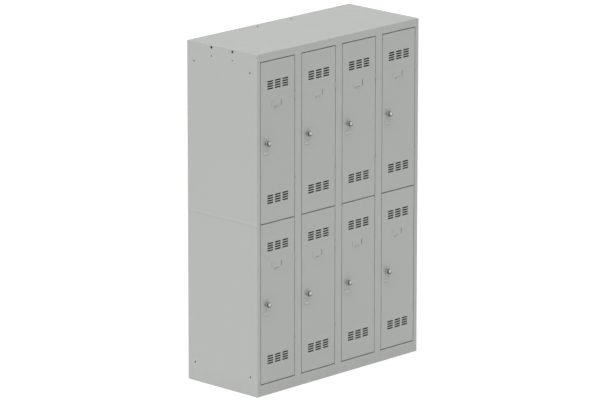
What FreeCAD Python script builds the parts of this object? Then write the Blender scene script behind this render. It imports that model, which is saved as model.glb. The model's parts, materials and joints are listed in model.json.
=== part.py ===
import FreeCAD, Part
import math
import os
import re

import Sketcher

# A folded-sheet steel locker cabinet: four columns by two tiers of hinged doors.
# Frame: +Z up, the doors face -Y, and the origin lies on the floor at the centre of the
# box that holds the cabinet and its lock knobs. All lengths are millimetres.

COLUMNS = 4
TIERS = 2

SIZES = {
    # cabinet
    "overall_width": 1200,
    "overall_depth": 500,
    "overall_height": 1800,
    "carcass_gauge": 0.8,
    "fold_radius": 1.2,
    "edge_radius": 0.6,
    "stile_face": 23.5,
    "return_margin": 2,
    "back_return": 15,
    "plinth_lip": 20,
    "plinth_height": 59.2,
    "top_rail_height": 40.1,
    "top_flange": 30,
    "back_flange": 25,
    # holes in the side panels and the top panel
    "joining_hole_radius": 4.5,
    "joining_hole_span": 400,
    "joining_hole_height": 100,
    "upper_hole_radius": 7,
    "upper_hole_span": 150,
    "upper_hole_drop": 10.5,
    "screw_hole_radius": 3.5,
    "screw_hole_drop": 56,
    "roof_hole_radius": 7,
    "roof_hole_span": 250,
    "roof_hole_inset": 38,
    # doors
    "door_gap": 4.4,
    "tier_gap": 5.2,
    "door_gauge": 0.8,
    "door_fold": 20,
    "door_lip": 12,
    "slot_length": 43,
    "slot_height": 7.5,
    "slot_column_pitch": 55,
    "slot_row_pitch": 12.5,
    "upper_vent_inset": 124.1,
    "lower_vent_inset": 121,
    "card_centre_inset": 114.6,
    "card_bottom_inset": 243.5,
    "card_window_width": 64,
    "side_tab_length": 28,
    "side_tab_rise": 4,
    "bottom_tab_length": 36,
    "tab_width": 5,
    "tab_gauge": 0.6,
    "tab_raise": 2,
    "stiffener_width": 50,
    "stiffener_flange": 10,
    "stiffener_depth": 15,
    "stiffener_bottom_inset": 155,
    "stiffener_top_inset": 259.5,
    # shelves
    "shelf_clearance": 3,
    "shelf_flange": 15,
    # hinges
    "hinge_axis_depth": 0.5,
    "knuckle_radius": 3.5,
    "knuckle_length": 28,
    "knuckle_shift": 5.2,
    "lug_length": 10,
    "hinge_play": 0.4,
    "leaf_gauge": 1,
    "leaf_depth": 13,
    "pin_radius": 2,
    "pin_head_radius": 3,
    "pin_head_length": 1.5,
    "running_clearance": 0.05,
    "notch_side_clearance": 0.7,
    "notch_back_clearance": 0.5,
    "notch_length": 46,
    "upper_hinge_inset": 205.9,
    "lower_hinge_inset": 184.9,
    # pull plates
    "plate_gauge": 1.2,
    "plate_width": 37,
    "plate_rise": 25,
    "plate_corner": 4,
    "lip_root_drop": 49.3,
    "lip_drop": 6.5,
    "lip_reach": 7,
    # locks
    "lock_inset": 35.6,
    "lock_height": 420.5,
    "flange_radius": 14,
    "flange_thickness": 3,
    "flange_bevel": 1,
    "flange_rim": 1.5,
    "barrel_radius": 9,
    "barrel_hole_clearance": 0.2,
    "housing_margin": 1.5,
    "lock_nut_radius": 14,
    "lock_nut_length": 5,
    "knob_reach": 28,
    "knob_radius": 14.5,
    "knob_length": 10.5,
    "knob_edge": 2.5,
    "neck_radius": 8,
    "neck_clearance": 0.3,
    "spindle_radius": 6,
    "plug_radius": 5.5,
    "plug_recess": 0.8,
    "key_slot_width": 1.4,
    "key_slot_length": 7,
    "key_slot_depth": 4,
    "cam_clearance": 0.5,
    "cam_gauge": 2,
    "cam_width": 16,
    "cam_eye_radius": 10,
    "cam_bite": 15.5,
    "cam_nut_radius": 9,
    "cam_nut_length": 4,
    # coat rails
    "coat_rail_drop": 70,
    "coat_rail_thickness": 15,
    "coat_rail_height": 30,
    "coat_rail_wall": 1.5,
    "hook_width": 12,
    "hook_gauge": 2,
    "hook_drop": 26,
    "hook_reach": 18,
    "hook_tip": 12,
    "hook_spacing": 110,
}

# Sizes that follow from the ones above. A door is measured from its own lower left front corner.
RULES = {
    "front": "(knob_reach - overall_depth) / 2",
    "back": "front + overall_depth",
    "half_width": "overall_width / 2",
    "side_middle": "(front + back) / 2",
    "inner_half": "half_width - carcass_gauge",
    "inner_back": "back - carcass_gauge",
    "back_face": "inner_back - carcass_gauge",
    "sheet_top": "overall_height - carcass_gauge",
    "rail_bottom": "overall_height - top_rail_height",
    "column_pitch": f"overall_width / {COLUMNS}",
    "half_gauge": "carcass_gauge / 2",
    "rail_edge": "half_width - stile_face",
    "post_return": "door_fold + return_margin",
    "return_face": "front + post_return",
    "door_width": "column_pitch - 2 * stile_face - 2 * door_gap",
    "door_stack": "rail_bottom - plinth_height",
    "door_height": f"(door_stack - {TIERS + 1} * tier_gap) / {TIERS}",
    "door_rise": "door_height + tier_gap",
    "first_door": "plinth_height + tier_gap",
    "door_inset": "stile_face + door_gap",
    "shelf_front": "front + door_fold + shelf_clearance",
    "card_bottom": "door_height - card_bottom_inset",
    "stiffener_length": "door_height - stiffener_bottom_inset - stiffener_top_inset",
    "hinge_line": "door_width + door_gap / 2",
    "hinge_upper": "door_height - upper_hinge_inset",
    "notch_reach": "knuckle_radius + notch_side_clearance",
    "notch_depth": "hinge_axis_depth + knuckle_radius + notch_back_clearance",
    "leaf_front": "notch_depth + door_gauge / 2",
    "bore_radius": "pin_radius + running_clearance",
    "pin_length": "knuckle_length - hinge_play + lug_length",
    "barrel_hole_radius": "barrel_radius + barrel_hole_clearance",
    "flange_face": "plate_gauge + flange_thickness",
    "spindle_bore": "spindle_radius + running_clearance",
    "knob_back": "knob_reach - knob_length",
    "housing_depth": "post_return + housing_margin",
    "cam_face": "housing_depth + cam_clearance",
    "cam_length": "lock_inset + door_gap + cam_bite",
    "spindle_end": "cam_face + cam_gauge + cam_nut_length",
}

doc = FreeCAD.newDocument("LockerCabinet")
sheet = doc.addObject("Spreadsheet::Sheet", "Sizes")
nodes = []


def fill_sheet():
    """Put every driving size in the sheet, with its name as the cell's alias."""
    for row, (name, number) in enumerate(SIZES.items(), start=1):
        sheet.set(f"A{row}", name)
        sheet.set(f"B{row}", str(number))
        sheet.setAlias(f"B{row}", name)
    doc.recompute()


def formula(text):
    """Spell a formula out in sheet cells, replacing each derived size by its rule."""

    def spell(match):
        word = match.group(0)
        if word in RULES:
            return "(" + formula(RULES[word]) + ")"
        return "Sizes." + word

    return re.sub(r"[a-z][a-z_]+", spell, str(text))


def number(text):
    """The present value of a formula."""
    return float(sheet.evalExpression(formula(text)))


def bind(thing, **settings):
    """Tie properties of an object to formulas."""
    for name, text in settings.items():
        thing.setExpression(name, formula(text))
    return thing


def place(thing, x="0", y="0", z="0"):
    """Tie an object's position to three formulas."""
    for axis, text in (("x", x), ("y", y), ("z", z)):
        thing.setExpression(f"Placement.Base.{axis}", formula(text))
    return thing


def node(thing, label):
    """Name a finished sub-part."""
    thing.Label = label
    nodes.append(thing)
    return thing


# ---- Part primitives and booleans ----


def box(name, low, high):
    """A box between two corners, each given as three formulas."""
    solid = doc.addObject("Part::Box", name)
    extent = [f"({top}) - ({bottom})" for bottom, top in zip(low, high)]
    bind(solid, Length=extent[0], Width=extent[1], Height=extent[2])
    return place(solid, *low)


def rod(name, radius, length, x="0", y="0", z="0", direction=(0, 0, 1)):
    """A cylinder that starts at a point and runs along a direction."""
    solid = doc.addObject("Part::Cylinder", name)
    bind(solid, Radius=radius, Height=length)
    solid.Placement.Rotation = FreeCAD.Rotation(FreeCAD.Vector(0, 0, 1), FreeCAD.Vector(*direction))
    return place(solid, x, y, z)


def hexagon(name, radius, length, x, y, z):
    """A hexagonal prism that runs along +Y from a point on its axis."""
    solid = doc.addObject("Part::Prism", name)
    solid.Polygon = 6
    bind(solid, Circumradius=radius, Height=length)
    solid.Placement.Rotation = FreeCAD.Rotation(FreeCAD.Vector(0, 0, 1), FreeCAD.Vector(0, 1, 0))
    return place(solid, x, y, z)


def fuse(name, solids):
    joined = doc.addObject("Part::MultiFuse", name)
    joined.Shapes = solids
    joined.Refine = True
    return joined


def cut(name, base, tool):
    result = doc.addObject("Part::Cut", name)
    result.Base = base
    result.Tool = tool
    result.Refine = True
    return result


def group(name, solids):
    """Several separate solids in one object."""
    gathered = doc.addObject("Part::Compound", name)
    gathered.Links = solids
    return gathered


# ---- PartDesign bodies and sketches ----


def new_body(name):
    return doc.addObject("PartDesign::Body", name)


def new_sketch(body, name, plane, offset="0"):
    """A sketch on one of the body's own origin planes, moved along the plane's normal."""
    support = next(item for item in body.Origin.OriginFeatures if item.Role == plane)
    sketch = body.newObject("Sketcher::SketchObject", name)
    sketch.AttachmentSupport = [(support, "")]
    sketch.MapMode = "FlatFace"
    sketch.setExpression("AttachmentOffset.Base.z", formula(offset))
    return sketch


def fix(sketch, kind, element, point, text):
    """Dimension a point from the sketch's origin, bound to a formula."""
    sketch.addConstraint(Sketcher.Constraint(kind, -1, 1, element, point, number(text)))
    sketch.setExpression(f"Constraints[{sketch.ConstraintCount - 1}]", formula(text))


def outline(sketch, corners):
    """A closed run of straight lines through corners, each a pair of formulas."""
    first = sketch.GeometryCount
    count = len(corners)
    spots = [FreeCAD.Vector(number(x), number(y), 0) for x, y in corners]
    for i in range(count):
        sketch.addGeometry(Part.LineSegment(spots[i], spots[(i + 1) % count]), False)
    for i in range(count):
        follower = first + (i + 1) % count
        sketch.addConstraint(Sketcher.Constraint("Coincident", first + i, 2, follower, 1))
    for i, (x, y) in enumerate(corners):
        fix(sketch, "DistanceX", first + i, 1, x)
        fix(sketch, "DistanceY", first + i, 1, y)


def rectangle(sketch, left, bottom, right, top):
    outline(sketch, [(left, bottom), (right, bottom), (right, top), (left, top)])


def circle(sketch, x, y, radius):
    element = sketch.addGeometry(
        Part.Circle(FreeCAD.Vector(number(x), number(y), 0), FreeCAD.Vector(0, 0, 1), number(radius)), False
    )
    fix(sketch, "DistanceX", element, 3, x)
    fix(sketch, "DistanceY", element, 3, y)
    sketch.addConstraint(Sketcher.Constraint("Radius", element, number(radius)))
    sketch.setExpression(f"Constraints[{sketch.ConstraintCount - 1}]", formula(radius))


def pad(body, name, sketch, length, flip=False):
    """Material on the side that the sketch's normal points to, or the other if flipped."""
    feature = body.newObject("PartDesign::Pad", name)
    feature.Profile = sketch
    feature.Reversed = flip
    return bind(feature, Length=length)


def pocket(body, name, sketch, length):
    """A cut against the sketch's normal."""
    feature = body.newObject("PartDesign::Pocket", name)
    feature.Profile = sketch
    return bind(feature, Length=length)


def drill(body, name, sketch):
    """A cut right through, both ways from the sketch."""
    feature = body.newObject("PartDesign::Pocket", name)
    feature.Profile = sketch
    feature.Type = "ThroughAll"
    feature.SideType = "Symmetric"
    return feature


def revolve(body, name, sketch):
    """The sketch turned once about its own vertical axis."""
    feature = body.newObject("PartDesign::Revolution", name)
    feature.Profile = sketch
    feature.ReferenceAxis = (sketch, ["V_Axis"])
    feature.Angle = 360
    return feature


def round_edges(body, name, base, radius, wanted):
    """Fillet the edges of the newest feature whose middle point passes a test."""
    doc.recompute()
    picked = []
    for i, edge in enumerate(base.Shape.Edges, start=1):
        middle = edge.valueAt((edge.FirstParameter + edge.LastParameter) / 2)
        if wanted(edge, middle):
            picked.append(f"Edge{i}")
    feature = body.newObject("PartDesign::Fillet", name)
    feature.Base = (base, picked)
    return bind(feature, Radius=radius)


def near(a, b):
    return abs(a - b) < 1e-4


# ---- places that several pieces share ----


def wall_left(column):
    """The face that bounds a column on its left."""
    if column == 0:
        return "-inner_half"
    return f"-half_width + {column} * column_pitch + half_gauge"


def wall_right(column):
    """The face that bounds a column on its right."""
    if column == COLUMNS - 1:
        return "inner_half"
    return f"-half_width + {column + 1} * column_pitch - half_gauge"


def column_line(index):
    """The centre line of the partition to the right of the given number of columns."""
    return f"-half_width + {index} * column_pitch"


def door_left(column):
    return f"-half_width + {column} * column_pitch + door_inset"


def door_bottom(tier):
    return f"first_door + {tier} * door_rise"


def shelf_line(tier):
    """The middle of the gap between a door and the one above it."""
    return f"first_door + {tier + 1} * door_rise - tier_gap / 2"


def hinge_heights():
    """Height of each hinge notch's middle, and +1 where the frame's lug is above the knuckle."""
    for tier in range(TIERS):
        yield f"{door_bottom(tier)} + hinge_upper", 1
        yield f"{door_bottom(tier)} + lower_hinge_inset", -1


def hinge_notches(body, name, left, right):
    """Cut the notches that clear the hinge knuckles out of a front edge."""
    sketch = new_sketch(body, name + "Outline", "XZ_Plane", "-front")
    for height, _ in hinge_heights():
        rectangle(sketch, left, f"{height} - notch_length / 2", right, f"{height} + notch_length / 2")
    return pocket(body, name, sketch, "notch_depth")


# ---- carcass ----


def side_panel(label, hand):
    """One side: a wall with its rear edge folded inwards. hand is -1 on the left and 1 on the right."""
    name = label.title().replace("_", "")
    body = new_body(name)

    def x(inset):
        return f"{hand} * (half_width - ({inset}))"

    section = [
        (x("0"), "front"),
        (x("carcass_gauge"), "front"),
        (x("carcass_gauge"), "inner_back"),
        (x("back_return"), "inner_back"),
        (x("back_return"), "back"),
        (x("0"), "back"),
    ]
    profile = new_sketch(body, name + "Section", "XY_Plane")
    outline(profile, section)
    wall = pad(body, name + "Wall", profile, "sheet_top")

    def outer_edge_at(line):
        def wanted(edge, middle):
            return near(middle.x, number(x("0"))) and near(middle.y, number(line))

        return wanted

    front_edge = round_edges(body, name + "FrontEdge", wall, "edge_radius", outer_edge_at("front"))
    round_edges(body, name + "BackFold", front_edge, "fold_radius", outer_edge_at("back"))
    holes = new_sketch(body, name + "HolePlaces", "YZ_Plane")
    for y in ("-joining_hole_span / 2", "joining_hole_span / 2"):
        for z in ("joining_hole_height", "overall_height - joining_hole_height"):
            circle(holes, f"side_middle + ({y})", z, "joining_hole_radius")
    for y in ("-upper_hole_span / 2", "upper_hole_span / 2"):
        circle(holes, f"side_middle + ({y})", "overall_height - upper_hole_drop", "upper_hole_radius")
        circle(holes, f"side_middle + ({y})", "overall_height - screw_hole_drop", "screw_hole_radius")
    drill(body, name + "Holes", holes)
    node(body, label)


def top_panel():
    """The roof sheet with its front rail, the rail's lip, two side flanges and a back flange."""
    flange_bottom = "sheet_top - top_flange"
    flange_front = "return_face + carcass_gauge"
    side_face = "inner_half - carcass_gauge"
    sheets = [
        box("RoofSheet", ("-half_width", "front", "sheet_top"), ("half_width", "back", "overall_height")),
        box(
            "RoofRail",
            ("-rail_edge", "front", "rail_bottom"),
            ("rail_edge", "front + carcass_gauge", "sheet_top"),
        ),
        box(
            "RoofRailLip",
            ("-rail_edge", "front", "rail_bottom"),
            ("rail_edge", "return_face", "rail_bottom + carcass_gauge"),
        ),
        box(
            "RoofFlangeLeft",
            ("-inner_half", flange_front, flange_bottom),
            (f"-({side_face})", "back_face", "sheet_top"),
        ),
        box(
            "RoofFlangeRight",
            (side_face, flange_front, flange_bottom),
            ("inner_half", "back_face", "sheet_top"),
        ),
        box(
            "RoofFlangeBack",
            (f"-({side_face})", "back_face - carcass_gauge", "sheet_top - back_flange"),
            (side_face, "back_face", "sheet_top"),
        ),
    ]
    tools = []
    hole_line = "back - roof_hole_inset"
    for i, x in enumerate(("-roof_hole_span / 2", "roof_hole_span / 2")):
        tools.append(
            rod(f"RoofHole{i}", "roof_hole_radius", "2 * top_flange", x, hole_line, flange_bottom)
        )
    for i, y in enumerate(("-upper_hole_span / 2", "upper_hole_span / 2")):
        tools.append(
            rod(
                f"RoofFlangeHole{i}",
                "upper_hole_radius",
                "overall_width",
                "-half_width",
                f"side_middle + ({y})",
                "overall_height - upper_hole_drop",
                (1, 0, 0),
            )
        )
    roof = cut("TopPanel", fuse("RoofFolds", sheets), fuse("RoofHoles", tools))
    node(roof, "top_panel")


def floor_panel():
    """The floor sheet with its plinth, the plinth's lip and a back flange."""
    floor_bottom = "plinth_height - carcass_gauge"
    body = new_body("FloorPanel")
    plan = [
        ("-rail_edge", "front"),
        ("rail_edge", "front"),
        ("rail_edge", "return_face"),
        ("inner_half", "return_face"),
        ("inner_half", "back_face"),
        ("-inner_half", "back_face"),
        ("-inner_half", "return_face"),
        ("-rail_edge", "return_face"),
    ]
    sheet_plan = new_sketch(body, "FloorPlan", "XY_Plane", floor_bottom)
    outline(sheet_plan, plan)
    pad(body, "FloorSheet", sheet_plan, "carcass_gauge")
    plinth = new_sketch(body, "PlinthOutline", "XZ_Plane", "-front")
    rectangle(plinth, "-rail_edge", "0", "rail_edge", "plinth_height")
    pad(body, "Plinth", plinth, "carcass_gauge", flip=True)
    lip = new_sketch(body, "PlinthLipOutline", "XY_Plane")
    rectangle(lip, "-rail_edge", "front", "rail_edge", "front + plinth_lip")
    pad(body, "PlinthLip", lip, "carcass_gauge")
    flange = new_sketch(body, "FloorFlangeOutline", "XZ_Plane", "-back_face")
    rectangle(flange, "-inner_half", f"{floor_bottom} - back_flange", "inner_half", "plinth_height")
    last = pad(body, "FloorFlange", flange, "carcass_gauge")

    def is_fold(edge, middle):
        long_way = near(abs(edge.tangentAt(edge.FirstParameter).x), 1)
        at_front = near(middle.y, number("front"))
        return long_way and at_front and (near(middle.z, 0) or near(middle.z, number("plinth_height")))

    round_edges(body, "FloorFolds", last, "fold_radius", is_fold)
    node(body, "floor_panel")


def back_panel():
    panel = box("BackPanel", ("-inner_half", "back_face", "0"), ("inner_half", "inner_back", "sheet_top"))
    node(panel, "back_panel")


def partition_panels():
    """The walls between columns, from the floor sheet to the roof sheet, stepped behind the rail."""
    walls = []
    for i in range(1, COLUMNS):
        low = f"{column_line(i)} - half_gauge"
        high = f"{column_line(i)} + half_gauge"
        main = box(
            f"Partition{i}Main",
            (low, "front + carcass_gauge", "plinth_height"),
            (high, "back_face - carcass_gauge", "rail_bottom"),
        )
        head = box(
            f"Partition{i}Head",
            (low, "return_face", "rail_bottom"),
            (high, "back_face - carcass_gauge", "sheet_top"),
        )
        walls.append(fuse(f"Partition{i}", [main, head]))
    node(group("PartitionPanels", walls), "partition_panels")


def middle_shelves():
    """One shelf in each column between tiers, with a front flange turned down."""
    shelves = []
    for column in range(COLUMNS):
        for tier in range(TIERS - 1):
            line = shelf_line(tier)
            left = wall_left(column)
            right = wall_right(column)
            top = f"{line} + half_gauge"
            name = f"Shelf{column}{tier}"
            deck = box(
                name + "Deck",
                (left, "shelf_front", f"{line} - half_gauge"),
                (right, "back_face", top),
            )
            flange = box(
                name + "Flange",
                (left, "shelf_front", f"{top} - shelf_flange"),
                (right, "shelf_front + carcass_gauge", top),
            )
            shelves.append(fuse(name, [deck, flange]))
    node(group("MiddleShelves", shelves), "middle_shelves")


def upright(name, left, right, foot, height, rounded):
    """A channel that opens to the rear, between two lines in X. rounded lists the lines that are folded."""
    body = new_body(name)
    section = [
        (left, "front"),
        (left, "return_face"),
        (f"{left} + carcass_gauge", "return_face"),
        (f"{left} + carcass_gauge", "front + carcass_gauge"),
        (f"{right} - carcass_gauge", "front + carcass_gauge"),
        (f"{right} - carcass_gauge", "return_face"),
        (right, "return_face"),
        (right, "front"),
    ]
    profile = new_sketch(body, name + "Section", "XY_Plane", foot)
    outline(profile, section)
    channel = pad(body, name + "Channel", profile, height)

    def is_fold(edge, middle):
        return near(middle.y, number("front")) and any(near(middle.x, number(line)) for line in rounded)

    round_edges(body, name + "Folds", channel, "fold_radius", is_fold)
    return body


def front_posts():
    """The uprights of the front frame: one at each side and one in front of each partition.

    All but the leftmost are notched on their left edge for hinges.
    """
    left_end = upright("PostLeft", "-inner_half", "-rail_edge", "0", "sheet_top", ["-rail_edge"])
    right_end = upright("PostRight", "rail_edge", "inner_half", "0", "sheet_top", ["rail_edge"])
    notched = [(right_end, "rail_edge")]
    for i in range(1, COLUMNS):
        left = f"{column_line(i)} - stile_face"
        right = f"{column_line(i)} + stile_face"
        post = upright(f"Post{i}", left, right, "plinth_height", "door_stack", [left, right])
        notched.append((post, left))
    for post, edge in notched:
        reach = f"{edge} - door_gap / 2 + notch_reach"
        hinge_notches(post, post.Name + "Notches", f"{edge} - door_gap", reach)
    node(group("FrontPosts", [left_end] + [post for post, _ in notched]), "front_posts")


# ---- hinges ----


def half_hinge(name, place_of, inward, barrel, height, hand):
    """A leaf with its barrel, bored for the pin.

    place_of is the hinge line in X, Y. inward is -1 for the door's half, whose leaf lies on the
    left of the gap, and 1 for the frame's. barrel is the span in Z of the barrel, and height the
    middle of the notch, from which the leaf's own span is worked out with hand.
    """
    x, y = place_of
    near_face = f"({x}) + {inward} * (door_gap / 2 - leaf_gauge)"
    far_face = f"({x}) + {inward} * door_gap / 2"
    low_x, high_x = (near_face, far_face) if inward > 0 else (far_face, near_face)
    knuckle_far = f"({height}) - {hand} * (knuckle_shift + knuckle_length / 2)"
    lug_far = f"({height}) + {hand} * (knuckle_length / 2 - knuckle_shift + hinge_play + lug_length)"
    low_z, high_z = (knuckle_far, lug_far) if hand > 0 else (lug_far, knuckle_far)
    front_y = f"({y}) - hinge_axis_depth"
    leaf = box(
        name + "Leaf",
        (low_x, f"{front_y} + leaf_front", low_z),
        (high_x, f"{front_y} + leaf_front + leaf_depth", high_z),
    )
    neck = box(name + "Neck", (low_x, y, barrel[0]), (high_x, f"{front_y} + leaf_front", barrel[1]))
    span = f"({barrel[1]}) - ({barrel[0]})"
    round_part = rod(name + "Round", "knuckle_radius", span, x, y, barrel[0])
    radius = "bore_radius" if inward < 0 else "pin_radius"
    bore = rod(name + "Bore", radius, span, x, y, barrel[0])
    return cut(name, fuse(name + "Blank", [leaf, neck, round_part]), bore)


def knuckle_span(height, hand):
    """Lower and upper end of the door's knuckle."""
    middle = f"({height}) - {hand} * knuckle_shift"
    return f"{middle} - knuckle_length / 2", f"{middle} + knuckle_length / 2"


def lug_span(height, hand):
    """Lower and upper end of the frame's lug, beyond the knuckle's outer end."""
    start = "knuckle_length / 2 - knuckle_shift + hinge_play"
    if hand > 0:
        low = f"({height}) + {start}"
        return low, f"{low} + lug_length"
    high = f"({height}) - ({start})"
    return f"{high} - lug_length", high


def frame_hinges():
    """The frame's half of every hinge, and the pins pressed into them."""
    brackets, pins = [], []
    for column in range(COLUMNS):
        x = f"{door_left(column)} + hinge_line"
        y = "front + hinge_axis_depth"
        for i, (height, hand) in enumerate(hinge_heights()):
            name = f"{column}{i}"
            low, high = lug_span(height, hand)
            brackets.append(half_hinge("Bracket" + name, (x, y), 1, (low, high), height, hand))
            if hand > 0:
                bottom = f"{high} - pin_length"
                head = high
            else:
                bottom = low
                head = f"{low} - pin_head_length"
            shank = rod(f"Pin{name}Shank", "pin_radius", "pin_length", x, y, bottom)
            cap = rod(f"Pin{name}Head", "pin_head_radius", "pin_head_length", x, y, head)
            pins.append(fuse("Pin" + name, [shank, cap]))
    node(group("HingeBrackets", brackets), "hinge_brackets")
    node(group("HingePins", pins), "hinge_pins")


# ---- coat rails ----


def coat_rails():
    """A square tube across each compartment, with folded hooks on its front face."""
    rails, hooks = [], []
    for column in range(COLUMNS):
        left = wall_left(column)
        right = wall_right(column)
        for tier in range(TIERS):
            ceiling = "rail_bottom" if tier == TIERS - 1 else f"{shelf_line(tier)} - half_gauge"
            top = f"{ceiling} - coat_rail_drop + coat_rail_height / 2"
            bottom = f"{ceiling} - coat_rail_drop - coat_rail_height / 2"
            face = "side_middle - coat_rail_thickness / 2"
            rear = "side_middle + coat_rail_thickness / 2"
            name = f"{column}{tier}"
            tube = box(f"Rail{name}Tube", (left, face, bottom), (right, rear, top))
            bore = box(
                f"Rail{name}Bore",
                (left, f"{face} + coat_rail_wall", f"{bottom} + coat_rail_wall"),
                (right, f"{rear} - coat_rail_wall", f"{top} - coat_rail_wall"),
            )
            rails.append(cut("Rail" + name, tube, bore))
            for i, shift in enumerate(("-hook_spacing / 2", "hook_spacing / 2")):
                centre = f"(({left}) + ({right})) / 2 + ({shift})"
                hooks.append(coat_hook(f"Hook{name}{i}", centre, face, top, bottom))
    node(group("CoatRails", rails), "coat_rails")
    node(group("CoatHooks", hooks), "coat_hooks")


def coat_hook(name, centre, face, top, bottom):
    """A strip down the rail's face, forwards and up again at its tip."""
    low_x = f"{centre} - hook_width / 2"
    high_x = f"{centre} + hook_width / 2"
    foot = f"{bottom} - hook_drop"
    tip = f"{face} - hook_reach"
    strap = box(name + "Strap", (low_x, f"{face} - hook_gauge", foot), (high_x, face, top))
    arm = box(name + "Arm", (low_x, tip, foot), (high_x, face, f"{foot} + hook_gauge"))
    end = box(name + "Tip", (low_x, tip, foot), (high_x, f"{tip} + hook_gauge", f"{foot} + hook_tip"))
    return fuse(name, [strap, arm, end])


# ---- doors ----


def vent(body, name, centre_height):
    """A group of slots: three columns of four rows about the door's middle."""
    columns, rows = 3, 4
    left = f"door_width / 2 - {(columns - 1) / 2} * slot_column_pitch"
    bottom = f"{centre_height} - {(rows - 1) / 2} * slot_row_pitch"
    sketch = new_sketch(body, name + "Slot", "XZ_Plane")
    half = "(slot_length - slot_height) / 2"
    spots = [number(f"{left} - {half}"), number(f"{left} + {half}")]
    low = number(f"{bottom} - slot_height / 2")
    high = number(f"{bottom} + slot_height / 2")
    up = FreeCAD.Vector(0, 0, 1)
    radius = number("slot_height / 2")
    ends = []
    for i, spot in enumerate(spots):
        round_end = Part.Circle(FreeCAD.Vector(spot, number(bottom), 0), up, radius)
        turn = -math.pi / 2 if i else math.pi / 2
        arc = Part.ArcOfCircle(round_end, turn, turn + math.pi)
        ends.append(sketch.addGeometry(arc, False))
    lower = sketch.addGeometry(
        Part.LineSegment(FreeCAD.Vector(spots[0], low, 0), FreeCAD.Vector(spots[1], low, 0)), False
    )
    upper = sketch.addGeometry(
        Part.LineSegment(FreeCAD.Vector(spots[1], high, 0), FreeCAD.Vector(spots[0], high, 0)), False
    )
    for a, a_point, b, b_point in (
        (ends[0], 2, lower, 1),
        (lower, 2, ends[1], 1),
        (ends[1], 2, upper, 1),
        (upper, 2, ends[0], 1),
    ):
        sketch.addConstraint(Sketcher.Constraint("Tangent", a, a_point, b, b_point))
    fix(sketch, "DistanceX", ends[0], 3, f"{left} - {half}")
    fix(sketch, "DistanceY", ends[0], 3, bottom)
    fix(sketch, "DistanceX", ends[1], 3, f"{left} + {half}")
    fix(sketch, "DistanceY", ends[1], 3, bottom)
    sketch.addConstraint(Sketcher.Constraint("Radius", ends[0], radius))
    sketch.setExpression(f"Constraints[{sketch.ConstraintCount - 1}]", formula("slot_height / 2"))
    slot = pocket(body, name + "Cut", sketch, "door_gauge")
    rows_and_columns = body.newObject("PartDesign::LinearPattern", name)
    rows_and_columns.Originals = [slot]
    rows_and_columns.Direction = (sketch, ["H_Axis"])
    rows_and_columns.Occurrences = columns
    rows_and_columns.Direction2 = (sketch, ["V_Axis"])
    rows_and_columns.Occurrences2 = rows
    bind(
        rows_and_columns,
        Length=f"{columns - 1} * slot_column_pitch",
        Length2=f"{rows - 1} * slot_row_pitch",
    )
    body.Tip = rows_and_columns
    return rows_and_columns


def card_tabs(body, name):
    """Three tabs lanced out of the skin, two upright and one below, that hold a label card.

    Each is cut free on three sides and stands out on a short wall along its outer side.
    """
    left = "card_centre_inset - card_window_width / 2"
    right = "card_centre_inset + card_window_width / 2"
    side_low = "card_bottom + side_tab_rise"
    side_high = f"{side_low} + side_tab_length"
    bottom_left = "card_centre_inset - bottom_tab_length / 2"
    bottom_right = "card_centre_inset + bottom_tab_length / 2"
    bottom_low = "card_bottom - tab_width"
    openings = [
        (f"{left} - tab_width", side_low, left, side_high),
        (right, side_low, f"{right} + tab_width", side_high),
        (bottom_left, bottom_low, bottom_right, "card_bottom"),
    ]
    walls = [
        (f"{left} - tab_width - tab_gauge", side_low, f"{left} - tab_width", side_high),
        (f"{right} + tab_width", side_low, f"{right} + tab_width + tab_gauge", side_high),
        (bottom_left, f"{bottom_low} - tab_gauge", bottom_right, bottom_low),
    ]
    strips = [
        (f"{left} - tab_width - tab_gauge", side_low, left, side_high),
        (right, side_low, f"{right} + tab_width + tab_gauge", side_high),
        (bottom_left, f"{bottom_low} - tab_gauge", bottom_right, "card_bottom"),
    ]
    places = (("Openings", openings, "0"), ("Walls", walls, "0"), ("Strips", strips, "tab_raise"))
    sketches = {}
    for kind, boxes, offset in places:
        sketches[kind] = new_sketch(body, name + kind + "Outline", "XZ_Plane", offset)
        for edges in boxes:
            rectangle(sketches[kind], *edges)
    pocket(body, name + "Openings", sketches["Openings"], "door_gauge")
    pad(body, name + "Walls", sketches["Walls"], "tab_raise + tab_gauge")
    pad(body, name + "Strips", sketches["Strips"], "tab_gauge")


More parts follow.
